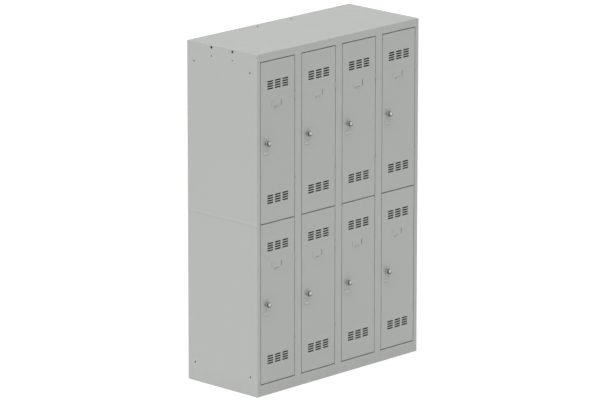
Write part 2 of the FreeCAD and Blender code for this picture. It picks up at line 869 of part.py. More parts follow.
def door_panel(index, position):
    """A tray: skin, four folded edges with inner lips, vents, card tabs, hinge notches, lock hole."""
    name = f"Door{index}"
    body = new_body(name)
    face = new_sketch(body, name + "Face", "XZ_Plane")
    rectangle(face, "0", "0", "door_width", "door_height")
    block = pad(body, name + "Block", face, "door_fold", flip=True)

    def is_front_edge(edge, middle):
        return near(middle.y, 0)

    round_edges(body, name + "Folds", block, "fold_radius", is_front_edge)
    cavity = new_sketch(body, name + "CavityOutline", "XZ_Plane", "-door_gauge")
    rectangle(cavity, "door_gauge", "door_gauge", "door_width - door_gauge", "door_height - door_gauge")
    pocket(body, name + "Cavity", cavity, "door_fold - 2 * door_gauge")
    mouth = new_sketch(body, name + "MouthOutline", "XZ_Plane", "2 * door_gauge - door_fold")
    rectangle(mouth, "door_lip", "door_lip", "door_width - door_lip", "door_height - door_lip")
    pocket(body, name + "Mouth", mouth, "2 * door_gauge")
    vent(body, name + "LowerVent", "lower_vent_inset")
    vent(body, name + "UpperVent", "door_height - upper_vent_inset")
    card_tabs(body, name + "Card")
    notches = new_sketch(body, name + "NotchOutline", "XZ_Plane")
    for height in ("hinge_upper", "lower_hinge_inset"):
        rectangle(
            notches,
            "hinge_line - notch_reach",
            f"{height} - notch_length / 2",
            "door_width + door_gap",
            f"{height} + notch_length / 2",
        )
    pocket(body, name + "Notches", notches, "notch_depth")
    hole = new_sketch(body, name + "LockHolePlace", "XZ_Plane")
    circle(hole, "lock_inset", "lock_height", "barrel_hole_radius")
    pocket(body, name + "LockHole", hole, "door_gauge")
    place(body, *position)
    node(body, f"door_panel_{index}")


def door_stiffener(index, position):
    """A hat section against the inside of the skin, between the two vents."""
    name = f"Stiffener{index}"
    body = new_body(name)
    skin = "door_gauge"
    floor = "door_gauge + stiffener_depth"

    def half_section(side):
        edge = f"door_width / 2 + {side} * stiffener_width / 2"
        web = f"door_width / 2 + {side} * (stiffener_width / 2 - stiffener_flange)"
        inner = f"{web} - {side} * door_gauge"
        return [
            (web, floor),
            (web, f"{skin} + door_gauge"),
            (edge, f"{skin} + door_gauge"),
            (edge, skin),
            (inner, skin),
            (inner, f"{floor} - door_gauge"),
        ]

    sketch = new_sketch(body, name + "Section", "XY_Plane", "stiffener_bottom_inset")
    outline(sketch, half_section(-1) + half_section(1)[::-1])
    pad(body, name + "Hat", sketch, "stiffener_length")
    place(body, *position)
    node(body, f"door_stiffener_{index}")


def door_hinges(index, position):
    """The door's two half hinges, whose knuckles run on the pins."""
    halves = []
    for i, (height, hand) in enumerate((("hinge_upper", 1), ("lower_hinge_inset", -1))):
        span = knuckle_span(height, hand)
        name = f"DoorHinge{index}{i}"
        halves.append(half_hinge(name, ("hinge_line", "hinge_axis_depth"), -1, span, height, hand))
    pair = group(f"DoorHinges{index}", halves)
    place(pair, *position)
    node(pair, f"door_hinges_{index}")


def pull_plate(index, position):
    """A plate under the lock flange whose lower end flares out into a finger lip."""
    name = f"Plate{index}"
    body = new_body(name)
    root = "lock_height - lip_root_drop"
    top = "lock_height + plate_rise"
    side_view = [
        ("0", top),
        ("0", root),
        ("-lip_reach", f"{root} - lip_drop"),
        ("-lip_reach - plate_gauge", f"{root} - lip_drop + plate_gauge / 2"),
        ("-plate_gauge", f"{root} + plate_gauge / 2"),
        ("-plate_gauge", top),
    ]
    profile = new_sketch(body, name + "Profile", "YZ_Plane", "lock_inset - plate_width / 2")
    outline(profile, side_view)
    strip = pad(body, name + "Strip", profile, "plate_width")

    def is_corner(edge, middle):
        return near(edge.Length, number("plate_gauge")) and near(middle.z, number(top))

    round_edges(body, name + "Corners", strip, "plate_corner", is_corner)
    hole = new_sketch(body, name + "HolePlace", "XZ_Plane")
    circle(hole, "lock_inset", "lock_height", "barrel_hole_radius")
    drill(body, name + "Hole", hole)
    place(body, *position)
    node(body, f"pull_plate_{index}")


def turned(name, profile):
    """A piece turned about an axis along Y: profile is a list of radius and distance from the door face."""
    body = new_body(name)
    sketch = new_sketch(body, name + "Profile", "XY_Plane")
    outline(sketch, profile)
    return body, revolve(body, name + "Turning", sketch)


def lock_position(position):
    """Where the lock's axis meets the door's face."""
    x, y, z = position
    return f"{x} + lock_inset", y, f"{z} + lock_height"


def lock_housing(index, position):
    """A flange on the pull plate with a barrel through the door, and the nut that holds it."""
    name = f"Housing{index}"
    profile = [
        ("spindle_bore", "-flange_face"),
        ("flange_radius - flange_bevel", "-flange_face"),
        ("flange_radius", "-plate_gauge - flange_rim"),
        ("flange_radius", "-plate_gauge"),
        ("barrel_radius", "-plate_gauge"),
        ("barrel_radius", "housing_depth"),
        ("spindle_bore", "housing_depth"),
    ]
    body, _ = turned(name, profile)
    nut = cut(
        f"LockNut{index}",
        hexagon(f"LockNut{index}Blank", "lock_nut_radius", "lock_nut_length", "0", "door_gauge", "0"),
        rod(f"LockNut{index}Bore", "barrel_radius", "lock_nut_length", "0", "door_gauge", "0", (0, 1, 0)),
    )
    pair = group(f"LockHousing{index}", [body, nut])
    place(pair, *lock_position(position))
    node(pair, f"lock_housing_{index}")


def lock_knob(index, position):
    """The knob with its spindle, the cam that hangs down when the lock is open, and the cam's nut."""
    name = f"Knob{index}"
    profile = [
        ("0", "-knob_reach + plug_recess"),
        ("plug_radius", "-knob_reach + plug_recess"),
        ("plug_radius", "-knob_reach"),
        ("knob_radius", "-knob_reach"),
        ("knob_radius", "-knob_back"),
        ("neck_radius", "-knob_back"),
        ("neck_radius", "-flange_face - neck_clearance"),
        ("spindle_radius", "-flange_face - neck_clearance"),
        ("spindle_radius", "spindle_end"),
        ("0", "spindle_end"),
    ]
    body, turning = turned(name, profile)

    def is_rim(edge, middle):
        at_rim = near(number("knob_radius"), (middle.x**2 + middle.z**2) ** 0.5)
        return at_rim and (near(middle.y, -number("knob_reach")) or near(middle.y, -number("knob_back")))

    round_edges(body, name + "Rim", turning, "knob_edge", is_rim)
    slot = new_sketch(body, name + "KeySlotOutline", "XZ_Plane", "knob_reach")
    rectangle(
        slot, "-key_slot_width / 2", "-key_slot_length / 2", "key_slot_width / 2", "key_slot_length / 2"
    )
    pocket(body, name + "KeySlot", slot, "key_slot_depth")
    blade = box(
        f"Cam{index}Blade",
        ("-cam_width / 2", "cam_face", "-cam_length"),
        ("cam_width / 2", "cam_face + cam_gauge", "0"),
    )
    eye = rod(f"Cam{index}Eye", "cam_eye_radius", "cam_gauge", "0", "cam_face", "0", (0, 1, 0))
    bore = rod(f"Cam{index}Bore", "spindle_radius", "cam_gauge", "0", "cam_face", "0", (0, 1, 0))
    cam = cut(f"Cam{index}", fuse(f"Cam{index}Blank", [blade, eye]), bore)
    nut_start = "cam_face + cam_gauge"
    nut = cut(
        f"CamNut{index}",
        hexagon(f"CamNut{index}Blank", "cam_nut_radius", "cam_nut_length", "0", nut_start, "0"),
        rod(f"CamNut{index}Bore", "spindle_radius", "cam_nut_length", "0", nut_start, "0", (0, 1, 0)),
    )
    set_of_three = group(f"LockKnob{index}", [body, cam, nut])
    place(set_of_three, *lock_position(position))
    node(set_of_three, f"lock_knob_{index}")


def doors():
    """Every door with what it carries, numbered from the upper left."""
    for row in range(TIERS):
        for column in range(COLUMNS):
            index = row * COLUMNS + column + 1
            position = (door_left(column), "front", door_bottom(TIERS - 1 - row))
            door_panel(index, position)
            door_stiffener(index, position)
            door_hinges(index, position)
            pull_plate(index, position)
            lock_housing(index, position)
            lock_knob(index, position)


# ---- checks and export ----


def check_document():
    """Stop if any object failed, or any sub-part has no sound shape."""
    for thing in doc.Objects:
        if {"Invalid", "Error"} & set(thing.State):
            raise RuntimeError(f"{thing.Name} failed: {thing.State}")
    for thing in nodes:
        if thing.Shape.isNull() or not thing.Shape.isValid():
            raise RuntimeError(f"{thing.Label} has no sound shape")
        if not thing.Shape.Solids:
            raise RuntimeError(f"{thing.Label} holds no solid")


def export():
    os.makedirs("parts", exist_ok=True)
    for thing in nodes:
        thing.Shape.exportStep(os.path.join("parts", thing.Label + ".step"))


fill_sheet()
side_panel("side_panel_left", -1)
side_panel("side_panel_right", 1)
top_panel()
floor_panel()
back_panel()
partition_panels()
middle_shelves()
front_posts()
frame_hinges()
coat_rails()
doors()
doc.recompute()
check_document()
export()
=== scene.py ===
"""A sheet-steel locker cabinet: its sheets' finish and its fine parts, around the fixed frame.

The sheets keep the frame's own shapes and get a powder coat. The pull plates, locks, hinges, pins,
coat rails and hooks are made here as surfaces, each a formula on a grid of two parameters, and
stand for the frame's plain solids. Lengths are metres.
"""

import json
import math

import bpy
import numpy as np
from bpy.props import FloatProperty, FloatVectorProperty, IntProperty, PointerProperty
from mathutils import Matrix, Vector

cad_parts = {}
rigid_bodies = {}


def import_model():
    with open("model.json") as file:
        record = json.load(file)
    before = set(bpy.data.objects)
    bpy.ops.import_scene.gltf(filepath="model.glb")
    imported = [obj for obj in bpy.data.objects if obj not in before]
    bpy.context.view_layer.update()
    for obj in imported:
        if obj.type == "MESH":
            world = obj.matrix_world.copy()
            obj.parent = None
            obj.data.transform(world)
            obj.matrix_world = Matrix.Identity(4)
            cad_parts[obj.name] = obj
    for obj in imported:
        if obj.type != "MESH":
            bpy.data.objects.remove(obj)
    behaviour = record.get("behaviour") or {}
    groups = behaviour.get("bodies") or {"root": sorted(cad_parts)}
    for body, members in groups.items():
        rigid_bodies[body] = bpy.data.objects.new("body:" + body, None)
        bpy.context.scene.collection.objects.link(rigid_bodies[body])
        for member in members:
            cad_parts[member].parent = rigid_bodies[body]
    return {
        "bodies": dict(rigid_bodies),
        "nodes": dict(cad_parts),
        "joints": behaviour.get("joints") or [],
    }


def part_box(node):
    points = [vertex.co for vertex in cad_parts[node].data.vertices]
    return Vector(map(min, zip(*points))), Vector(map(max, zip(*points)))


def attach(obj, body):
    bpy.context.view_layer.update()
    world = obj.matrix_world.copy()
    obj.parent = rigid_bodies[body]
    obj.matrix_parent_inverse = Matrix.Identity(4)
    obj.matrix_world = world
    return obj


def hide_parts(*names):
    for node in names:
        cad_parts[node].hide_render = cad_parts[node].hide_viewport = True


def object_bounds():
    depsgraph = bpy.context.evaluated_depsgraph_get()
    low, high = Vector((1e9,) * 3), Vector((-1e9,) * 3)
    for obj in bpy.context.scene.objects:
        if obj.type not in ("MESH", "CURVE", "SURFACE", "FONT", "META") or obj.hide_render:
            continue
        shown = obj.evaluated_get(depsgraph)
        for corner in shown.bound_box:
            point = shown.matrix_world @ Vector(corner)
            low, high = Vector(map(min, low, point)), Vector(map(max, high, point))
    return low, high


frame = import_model()
cad_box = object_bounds()

bl_info = {
    "name": "Locker Cabinet",
    "version": (1, 0, 0),
    "blender": (4, 5, 0),
    "location": "3D View > Sidebar > Locker",
    "description": "Finishes and fine parts of a sheet-steel locker cabinet",
    "category": "Add Mesh",
}

MM = 0.001
DOORS = [int(name.split("_")[1]) for name in frame["bodies"] if name.startswith("door_")]
JOINTS = {joint["name"]: Vector(joint["pos_m"]) for joint in frame["joints"]}
COLUMN_PITCH = JOINTS["lock_2_turn"].x - JOINTS["lock_1_turn"].x
TIER_PITCH = JOINTS["lock_1_turn"].z - JOINTS["lock_5_turn"].z
FIRST_LOCK = JOINTS["lock_5_turn"]
COLUMNS = len(DOORS) // 2

# How far a bore stands clear of the round bar in it.
FIT = 0.05 * MM

# Where the side panels' weld ridge lies under the middle shelves' top, how far it spreads to
# either side, and how high it is in depths of the sheet's waves.
SEAM_DROP = 2.5 * MM
SEAM_REACH = 12 * MM
SEAM_RISE = 4.2

# How strongly the pull plate's flat face is darkened, as painted shade that leaves its lip as a
# painted highlight, and how strongly hands darken the door and plate about a lock, as shares of the dirt
# near the floor.
PLATE_FLAT_SHADE = 2.5
DOOR_DIRT = 0.3

# Faces round a nut, a multiple of 12, and round a hinge pin.
NUT_SIDES = 72
PIN_SIDES = 36

# Edges that bend by more than this look sharp.
SHARP_BEND = math.radians(38)


# ---- surfaces ----


def weld(points, wrap_rows, wrap_columns):
    """A grid of points as one shell: a quad between each four neighbours, wrapped where it closes.

    Points in one place become one, so that a quad at a pole or a seam turns into a triangle,
    which is written with -1 for its fourth corner.
    """
    rows, columns = points.shape[:2]
    index = np.arange(rows * columns).reshape(rows, columns)
    if wrap_rows:
        index = np.vstack([index, index[:1]])
    if wrap_columns:
        index = np.hstack([index, index[:, :1]])
    corners = [index[:-1, :-1], index[1:, :-1], index[1:, 1:], index[:-1, 1:]]
    quads = np.stack(corners, -1).reshape(-1, 4)
    flat = points.reshape(-1, 3)
    _, first, same = np.unique(np.round(flat, 8), axis=0, return_index=True, return_inverse=True)
    quads = same.ravel()[quads]
    doubled = quads == np.roll(quads, 1, 1)
    count = 4 - doubled.sum(1)
    thirds = quads[count == 3][~doubled[count == 3]].reshape(-1, 3)
    triangles = np.hstack([thirds, np.full((len(thirds), 1), -1)])
    return outward(flat[first], np.vstack([quads[count == 4], triangles]))


def outward(points, faces):
    """Turns a closed shell's faces outwards: the sum of its corner products is then above zero."""
    middle = points - points.mean(0)
    a, b, c, d = (middle[faces[:, i]] for i in range(4))
    volume = (a * np.cross(b, c)).sum()
    volume += (a * np.cross(c, d)).sum(1)[faces[:, 3] >= 0].sum()
    if volume < 0:
        faces = np.hstack([faces[:, 2::-1], faces[:, 3:]])
    return points, faces


def rounded(corners, radii, closed=True, steps=6):
    """An outline with arcs at its corners.

    An arc's centre lies on the corner's bisector at radius / sin(half the corner), and its
    points turn evenly from the one side's normal to the other's. An open line keeps its ends.
    """
    corners = np.asarray(corners, float)
    radii = np.broadcast_to(np.asarray(radii, float), len(corners))[:, None]
    back = np.roll(corners, 1, 0) - corners
    ahead = np.roll(corners, -1, 0) - corners
    back /= np.linalg.norm(back, axis=1)[:, None]
    ahead /= np.linalg.norm(ahead, axis=1)[:, None]
    half = np.arccos(np.clip((back * ahead).sum(1), -1, 1))[:, None] / 2
    middle = back + ahead
    middle /= np.linalg.norm(middle, axis=1)[:, None]
    centre = corners + middle * radii / np.sin(half)
    share = np.linspace(0, 1, steps + 1)[None, :, None]
    turn = (math.pi - 2 * half)[:, None, :]
    start = (corners + back * radii / np.tan(half) - centre)[:, None, :]
    end = (corners + ahead * radii / np.tan(half) - centre)[:, None, :]
    arcs = (np.sin((1 - share) * turn) * start + np.sin(share * turn) * end) / np.sin(turn)
    line = centre[:, None, :] + arcs
    if closed:
        return line.reshape(-1, 2)
    return np.vstack([corners[:1], line[1:-1].reshape(-1, 2), corners[-1:]])


def spaced(line, step, closed=True):
    """A line with more points: each stretch is cut into equal parts no longer than step."""
    ends = np.roll(line, -1, 0) if closed else line[1:]
    starts = line if closed else line[:-1]
    length = np.linalg.norm(ends - starts, axis=1)
    keep = length > 1e-9
    starts, ends, length = starts[keep], ends[keep], length[keep]
    parts = np.maximum(np.ceil(length / step), 1).astype(int)
    which = np.repeat(np.arange(len(parts)), parts)
    place = np.arange(len(which)) - np.repeat(np.cumsum(parts) - parts, parts)
    share = (place / parts[which])[:, None]
    inner = starts[which] * (1 - share) + ends[which] * share
    return inner if closed else np.vstack([inner, line[-1:]])


def rectangle(width, height):
    """The corners of a rectangle about the origin."""
    return np.array([(-1, -1), (1, -1), (1, 1), (-1, 1)]) * (width / 2, height / 2)


def turned(profile, sides, limit=math.inf):
    """A piece turned on a lathe: each profile point (radius, depth) goes round in a circle.

    The point at an angle is (radius cos, depth, radius sin). limit holds the radius in at each
    angle, as a hexagon's flats do.
    """
    angle = np.linspace(0, 2 * math.pi, sides, endpoint=False)
    radius = np.minimum(profile[:, :1], limit)
    depth = np.broadcast_to(profile[:, 1:], radius.shape if np.ndim(limit) else (len(profile), sides))
    radius = np.broadcast_to(radius, depth.shape)
    return np.stack([radius * np.cos(angle), depth, radius * np.sin(angle)], -1)


def hexagon(flat, sides):
    """A hexagon's reach at each angle: flat / cos(angle from the flat's middle)."""
    angle = np.linspace(0, 2 * math.pi, sides, endpoint=False)
    return flat / np.cos(np.mod(angle + math.pi / 6, math.pi / 3) - math.pi / 6)


def slotted(width, length, sides):
    """A narrow slot's reach at each angle: half width / cos or half length / sin, the lesser."""
    angle = np.linspace(0, 2 * math.pi, sides, endpoint=False)
    across = width / 2 / np.maximum(np.abs(np.cos(angle)), 1e-6)
    along = length / 2 / np.maximum(np.abs(np.sin(angle)), 1e-6)
    return np.minimum(across, along)


def holed(outline, hole, thickness, edge, rings=14):
    """A flat plate with a round hole about the origin, closed in both parameters like a ring.

    A ray from the hole's centre to each outline point carries the plate's section: out along
    the front, round the outer edge, in along the rear and round the hole's edge. The points are
    (across, up, depth), with depth from 0 at the front to thickness at the rear.
    """
    quarter = np.linspace(0, math.pi / 2, 4)
    out = np.linspace(0, 1, rings)
    level = np.zeros(rings)
    rise, run = edge * np.sin(quarter), edge - edge * np.cos(quarter)
    share = np.concatenate([out, np.ones(8), out[::-1], np.zeros(8)])
    bulge = np.concatenate([level, rise, rise[::-1], level, -rise, -rise[::-1]])
    side = np.concatenate([run, thickness - run[::-1]])
    depth = np.concatenate([level, side, level + thickness, side[::-1]])
    reach = np.linalg.norm(outline, axis=1)[:, None]
    distance = (hole + edge) * (1 - share) + (reach - edge) * share + bulge
    flat = outline[:, None, :] / reach[:, None, :] * distance[..., None]
    return np.dstack([flat, np.broadcast_to(depth, distance.shape)])


def swept(path, section, taper=None):
    """A closed section carried along a flat path, its ends closed by a fan.

    A section point (out, across) goes to path + out * normal, where the normal is the path's
    direction turned a quarter turn, and stands across the path's plane. taper narrows the
    section across the path at each of its points. The points are (first, second, across).
    """
    heading = np.gradient(path, axis=0)
    heading /= np.linalg.norm(heading, axis=1)[:, None]
    normal = np.stack([-heading[:, 1], heading[:, 0]], -1)
    taper = np.ones(len(path)) if taper is None else taper
    rings = path[:, None, :] + normal[:, None, :] * section[None, :, :1]
    across = taper[:, None] * section[None, :, 1]
    body = np.dstack([rings, across])
    cap = np.zeros((1, len(section), 3))
    start, end = cap.copy(), cap.copy()
    start[..., :2], end[..., :2] = path[0], path[-1]
    return np.concatenate([start, body, end])


def tube(outer, inner, low, high):
    """A hollow bar: the outer and the inner outline, matched point by point, between two ends.

    The four rows are the outer wall from low to high and the inner wall back. The points are
    (along, first, second).
    """
    rows = np.stack([outer, outer, inner, inner])
    along = np.array([low, high, high, low])[:, None, None]
    return np.concatenate([np.broadcast_to(along, rows.shape[:2] + (1,)), rows], -1)


def piece(name, parts, body, slot, *nodes):
    """Makes one object from (shell, material) parts, which rides on a body and replaces frame nodes."""
    materials = list(dict.fromkeys(material for _, material in parts))
    starts = np.cumsum([0] + [len(shell[0]) for shell, _ in parts])
    points = np.vstack([shell[0] for shell, _ in parts])
    local = [shell[1] for shell, _ in parts]
    faces = np.vstack([np.where(part < 0, -1, part + start) for part, start in zip(local, starts)])
    finish = [np.full(len(shell[1]), materials.index(material)) for shell, material in parts]
    corners = (faces >= 0).sum(1)
    mesh = bpy.data.meshes.new(name)
    mesh.vertices.add(len(points))
    mesh.vertices.foreach_set("co", points.astype(np.float32).ravel())
    mesh.loops.add(corners.sum())
    mesh.loops.foreach_set("vertex_index", faces[faces >= 0].astype(np.int32))
    mesh.polygons.add(len(faces))
    mesh.polygons.foreach_set("loop_start", (np.cumsum(corners) - corners).astype(np.int32))
    mesh.update(calc_edges=True)
    for material in materials:
        mesh.materials.append(material)
    mesh.polygons.foreach_set("material_index", np.concatenate(finish).astype(np.int32))
    mesh.shade_smooth()
    mesh.set_sharp_from_angle(angle=SHARP_BEND)
    made = bpy.data.objects.new(name, mesh)
    bpy.context.scene.collection.objects.link(made)
    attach(made, body)
    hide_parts(*nodes)
    return made


def moved(shell, place):
    """The same shell at another place."""
    points, faces = shell
    return points + np.asarray(place), faces


# ---- shader graphs ----


class Value:
    """One socket of a shader graph, for use in Python expressions: each operator adds a Math node."""

    def __init__(self, graph, socket):
        self.graph = graph
        self.socket = socket

    def other(self, index):
        """Another output of the same node."""
        return Value(self.graph, self.socket.node.outputs[index])

    def math(self, operation, *others):
        """A Math node on this value and any others."""
        return self.graph.node("ShaderNodeMath", [self, *others], operation=operation)

    def __add__(self, other):
        return self.math("ADD", other)

    def __sub__(self, other):
        return self.math("SUBTRACT", other)

    def __rsub__(self, other):
        return self.graph.node("ShaderNodeMath", [other, self], operation="SUBTRACT")

    def __mul__(self, other):
        return self.math("MULTIPLY", other)

    __radd__ = __add__
    __rmul__ = __mul__

    def ramp(self, low, high):
        """0 at low and 1 at high, smooth between."""
        sockets = {"Value": self, "From Min": low, "From Max": high}
        return self.graph.node("ShaderNodeMapRange", sockets, interpolation_type="SMOOTHSTEP")

    def bump(self, middle, reach):
        """1 at middle, falling smoothly to 0 at reach to either side."""
        return 1 - (self - middle).math("ABSOLUTE").ramp(0, reach)


class Graph:
    """The shader nodes of a material or of the world."""

    def __init__(self, owner):
        owner.use_nodes = True
        self.tree = owner.node_tree
        self.tree.nodes.clear()

    def node(self, kind, sockets=(), output=0, **settings):
        """Adds a node: its settings are set first, then its sockets, by name or in order."""
        made = self.tree.nodes.new(kind)
        for name, value in settings.items():
            setattr(made, name, value)
        for key, value in sockets.items() if isinstance(sockets, dict) else enumerate(sockets):
            if isinstance(value, Value):
                self.tree.links.new(value.socket, made.inputs[key])
            else:
                made.inputs[key].default_value = value
        return Value(self, made.outputs[output]) if made.outputs else None

    def place(self):
        """The point on the piece, in its own frame."""
        return self.node("ShaderNodeTexCoord", output=3)

    def split(self, place):
        """A point's three coordinates."""
        across = self.node("ShaderNodeSeparateXYZ", [place])
        return across, across.other(1), across.other(2)

    def stretch(self, place, scale):
        """A point with each of its coordinates multiplied."""
        return self.node("ShaderNodeVectorMath", {0: place, 1: scale}, operation="MULTIPLY")

    def noise(self, place, scale, detail=2.0, rough=0.5):
        """Smooth noise from 0 to 1, with that many features to a metre."""
        sockets = {"Vector": place, "Scale": scale, "Detail": detail, "Roughness": rough}
        return self.node("ShaderNodeTexNoise", sockets)

    def blend(self, share, first, second):
        """A colour between two others."""
        return self.node("ShaderNodeMix", {0: share, 6: first, 7: second}, output=2, data_type="RGBA")

    def relief(self, height, distance, strength=1.0, under=None):
        """The surface's normal, raised by a height, over another relief if there is one."""
        sockets = {"Height": height, "Distance": distance, "Strength": strength}
        if under is not None:
            sockets["Normal"] = under
        return self.node("ShaderNodeBump", sockets)

    def finish(self, shader, kind="ShaderNodeOutputMaterial"):
        """Ends the graph with a shader."""
        self.node(kind, {"Surface": shader})


def shade(colour, factor):
    """A colour made lighter or darker, for a socket."""
    return (*(min(1.0, part * factor) for part in colour[:3]), 1.0)


def seen_rays(graph):
    """1 where the camera looks, straight or by mirror or glass, and 0 for light on the object."""
    rays = graph.node("ShaderNodeLightPath")
    camera, glossy, clear = rays, rays.other("Is Glossy Ray"), rays.other("Is Transmission Ray")
    return camera.math("MAXIMUM", glossy).math("MAXIMUM", clear)


# ---- finishes ----


def nearest_lock(graph, place):
    """How far beside, above and away from the nearest lock's axis a point is.

    WRAP folds the doors onto one by taking whole pitches off, counted from half a pitch before
    the first lock. Away is the root of beside squared + above squared.
    """
    x, _, z = graph.split(place)
    half_x, half_z = COLUMN_PITCH / 2, TIER_PITCH / 2
    beside = (x - (FIRST_LOCK.x - half_x)).math("WRAP", COLUMN_PITCH, 0.0) - half_x
    above = (z - (FIRST_LOCK.z - half_z)).math("WRAP", TIER_PITCH, 0.0) - half_z
    return beside, above, (beside * beside + above * above).math("SQRT")


def powder_coat(name, paint, tone=1.0, marks=None):
    """Fine-textured powder coat on thin folded sheet.

    Colour: faint wide and middling mottle with darker specks, and dirt towards the floor.
    Dullness: uneven, more in the dirt. Relief: orange peel over the sheet's slow waves. marks
    adds what only some sheets have, the pull plates' painted shade among it: it gets the graph,
    the point and the three values so far (dirt with any painted shade, dullness, waves) and
    gives them back.
    """
    material = bpy.data.materials.get(name) or bpy.data.materials.new(name)
    graph = Graph(material)
    place = graph.place()
    height = graph.split(place)[2]
    wide = graph.noise(place, 3.1)
    mottle = graph.noise(place, 46.0, 3.0)
    grain = graph.noise(place, 1400.0, 1.0)
    peel = graph.noise(place, 520.0, 2.0)
    streaks = graph.noise(graph.stretch(place, (70.0, 70.0, 9.0)), 1.0, 3.0, 0.62)
    low = 1 - height.ramp(0.0, paint.grime_height)
    grime_and_shade = low * streaks.ramp(0.42, 0.75)
    dullness = paint.roughness + (mottle - 0.5) * 0.12 + (wide - 0.5) * 0.08 + grime_and_shade * 0.14
    waves = graph.noise(graph.stretch(place, (1.0, 1.0, 0.55)), 4.2, 1.0)
    if marks:
        grime_and_shade, dullness, waves = marks(graph, place, grime_and_shade, dullness, waves)
    base = shade(paint.colour, tone)
    colour = graph.blend(wide * 0.5 + mottle * 0.5, shade(base, 0.975), shade(base, 1.025))
    colour = graph.blend(grain.ramp(0.62, 0.8) * 0.35, colour, shade(base, 0.86))
    # the dirt colour, which on the pull plates also lays their painted shade
    colour = graph.blend(grime_and_shade * 0.12, colour, shade(paint.grime_and_shade, 1.0))
    skin = graph.relief(waves, paint.wave_depth, 0.6)
    skin = graph.relief(peel * 0.7 + grain * 0.3, paint.peel_depth, 0.5, skin)
    coat = {
        "Base Color": colour,
        "Roughness": dullness,
        "Normal": skin,
        "Specular IOR Level": paint.reflection,
    }
    graph.finish(graph.node("ShaderNodeBsdfPrincipled", coat))
    return material


def wall_marks(graph, place, grime_and_shade, dullness, waves):
    """The faint ridge that the middle shelves' welds draw across a side panel."""
    height = graph.split(place)[2]
    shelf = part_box("middle_shelves")[1].z
    ridge = height.bump(shelf - SEAM_DROP, SEAM_REACH)
    return grime_and_shade, dullness, waves + ridge * SEAM_RISE


def door_marks(graph, place, grime_and_shade, dullness, waves):
    """Where hands pull a door: a soft patch about its lock and plate, slightly glossier and darker."""
    away = nearest_lock(graph, place)[2]
    near = 1 - away.ramp(18 * MM, 75 * MM)
    smudge = near * graph.noise(place, 38.0, 4.0, 0.65).ramp(0.35, 0.7)
    return grime_and_shade + smudge * DOOR_DIRT, dullness - smudge * 0.1, waves


def plate_dirt_and_lip_light(graph, place, grime_and_shade, dullness, waves):
    """A pull plate: hands' dirt as on the door, and painted shade over its flat face, which leaves the
    lip below it as a painted highlight.
    """
    grime_and_shade, dullness, waves = door_marks(graph, place, grime_and_shade, dullness, waves)
    lip_drop = bpy.context.scene.locker_plate.lip_drop
    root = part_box("pull_plate_1")[0].z + lip_drop - JOINTS["lock_1_turn"].z
    # painted shade: the flat face above the lip's bend is darkened, so the lip reads as a painted
    # highlight
    flat = nearest_lock(graph, place)[1].ramp(root, root + 3 * MM)
    return grime_and_shade + flat * PLATE_FLAT_SHADE, dullness, waves


def roof_marks(graph, place, grime_and_shade, dullness, waves):
    """Fine dust lying on the roof, dull and uneven."""
    height = graph.split(place)[2]
    on_top = height.ramp(cad_box[1].z - 1.2 * MM, cad_box[1].z - 0.4 * MM)
    dust = on_top * graph.noise(place, 17.0, 5.0, 0.6).ramp(0.3, 0.8)
    return grime_and_shade, dullness + dust * 0.12, waves


def zinc_plate(name, metal):
    """Bright zinc plate: a spangle of crystals under fine drawn lines, with a warm tinge in patches."""
    material = bpy.data.materials.get(name) or bpy.data.materials.new(name)
    graph = Graph(material)
    place = graph.place()
    crystals = graph.node("ShaderNodeTexVoronoi", {"Vector": place, "Scale": 260.0}, output=1)
    tone = graph.node("ShaderNodeSeparateColor", [crystals])
    lines = graph.noise(graph.stretch(place, (300.0, 2600.0, 2600.0)), 1.0, 2.0)
    patches = graph.noise(place, 60.0, 3.0)
    colour = graph.blend(tone, shade(metal.zinc, 0.9), shade(metal.zinc, 1.08))
    colour = graph.blend(patches.ramp(0.45, 0.75) * 0.4, colour, shade(metal.tinge, 1.0))
    dullness = metal.zinc_roughness + (tone - 0.5) * 0.12 + (patches - 0.5) * 0.16
    skin = graph.relief(lines * 0.6 + tone * 0.4, 0.02 * MM, 0.5)
    plate = {"Base Color": colour, "Roughness": dullness, "Normal": skin, "Metallic": 1.0}
    graph.finish(graph.node("ShaderNodeBsdfPrincipled", plate))
    return material


